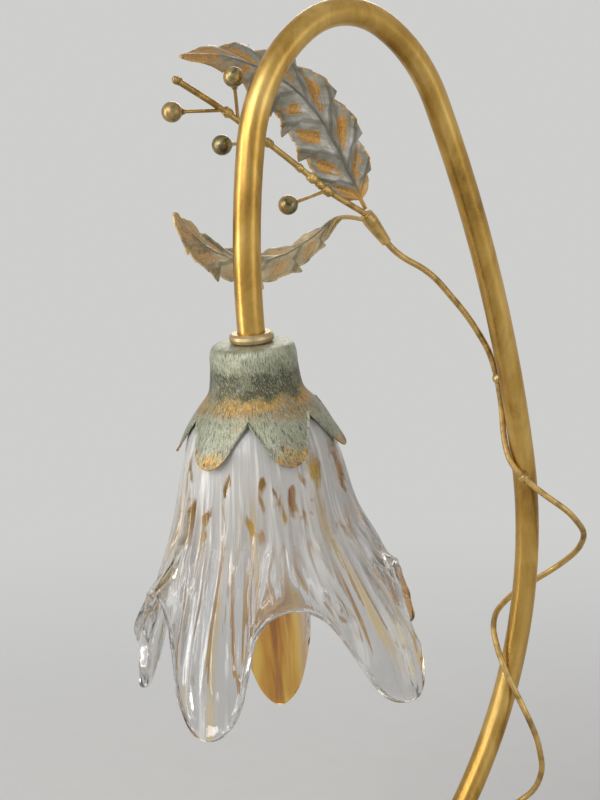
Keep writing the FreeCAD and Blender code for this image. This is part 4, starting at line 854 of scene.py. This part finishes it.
# %% Close the bore of the collar
in_edit(glass,
        lambda: bpy.ops.mesh.select_mode(type="EDGE"),
        lambda: bpy.ops.mesh.select_all(action="DESELECT"),
        bpy.ops.mesh.select_non_manifold,
        bpy.ops.mesh.bridge_edge_loops,
        lambda: bpy.ops.mesh.select_mode(type="VERT"),
        lambda: bpy.ops.mesh.select_all(action="SELECT"),
        lambda: bpy.ops.mesh.normals_make_consistent(inside=False))
bpy.ops.object.shade_smooth()
glass.data.transform(HEAD)
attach(glass, "lamp")
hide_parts("glass_shade")
print(len(glass.data.polygons), "faces in the closed glass")

# %% [markdown]
# ## Glass with milk and amber in it
# The batch had streaks: milky near the collar and in long lines, clear at the tips, with amber drops
# below the sepals and long amber threads down the petals. Two petals are amber nearly throughout.
# The amber sits in the colour of the glass, and milk lowers its transmission. The clear parts are tinted
# grey: painted shade that stands in for dark surroundings seen through the glass.
# %% Glass finish
clear = Finish("clear_glass")
local = under_head(clear)
spot = clear.part(local)
deepness = clear.times(spot[2], -1.0)
angle = clear.calc("ARCTAN2", spot[1], spot[0])
round_it = clear.times(angle, 0.05)
thread_place = clear.join(round_it, clear.times(spot[2], 0.05), 0)
threads = clear.grain(thread_place, 150, 4, 0.6, 0.4)
drop_place = clear.join(round_it, clear.times(spot[2], 0.45), 0.3)
drops_of_amber = clear.grain(drop_place, 105, 2, 0.5, 0.6)
milk_lines = clear.grain(thread_place, 260, 2, 0.5, 0.2)
below_sepals = clear.times(clear.spread(deepness, 0.048, 0.060),
                           clear.spread(deepness, 0.080, 0.105, 1, 0))
amber = clear.times(clear.spread(drops_of_amber, 0.54, 0.63), below_sepals)
long_amber = clear.times(clear.spread(threads, 0.55, 0.68), clear.spread(deepness, 0.055, 0.09))
amber = clear.calc("MINIMUM", clear.plus(amber, clear.times(long_amber, 0.6)), 1.0)
# The amber petals lie between these angles about the head's axis, in radians.
rear = clear.times(clear.spread(angle, 0.55, 0.8), clear.spread(angle, 1.2, 1.5, 1, 0))
rear = clear.times(rear, clear.spread(deepness, 0.105, 0.16, 0, 0.95))
side = clear.times(clear.spread(angle, -0.75, -0.5), clear.spread(angle, 0.0, 0.25, 1, 0))
side = clear.times(side, clear.spread(deepness, 0.11, 0.14))
amber = clear.calc("MAXIMUM", amber, clear.calc("MAXIMUM", rear, clear.times(side, 0.8)))
honey = clear.ramp(threads, (0.35, srgb("a8640e")), (0.48, srgb("d6971f")), (0.62, srgb("f0c650")))
# The grey of the clear glass is painted shade, standing in for dark surroundings seen through it.
tint = clear.mix(amber, (0.74, 0.73, 0.72), honey)
milk = clear.spread(deepness, 0.055, 0.135, 0.55, 0.02)
milk = clear.plus(milk, clear.times(clear.spread(milk_lines, 0.52, 0.68), 0.34))
milk = clear.times(milk, clear.calc("SUBTRACT", 1.0, clear.times(amber, 0.75)))
tint = clear.mix(clear.times(milk, 0.6), tint, srgb("e9e4da"))
through = clear.calc("SUBTRACT", 1.0, clear.calc("MINIMUM", milk, 0.8))
clear.feed(clear.shader.inputs["Transmission Weight"], through)
clear.bump(clear.plus(clear.times(threads, 0.6), milk_lines), 0.00042)
dress(glass, clear.shine(tint, clear.spread(milk, 0.0, 0.7, 0.02, 0.20), IOR=1.48))
print("glass dressed")
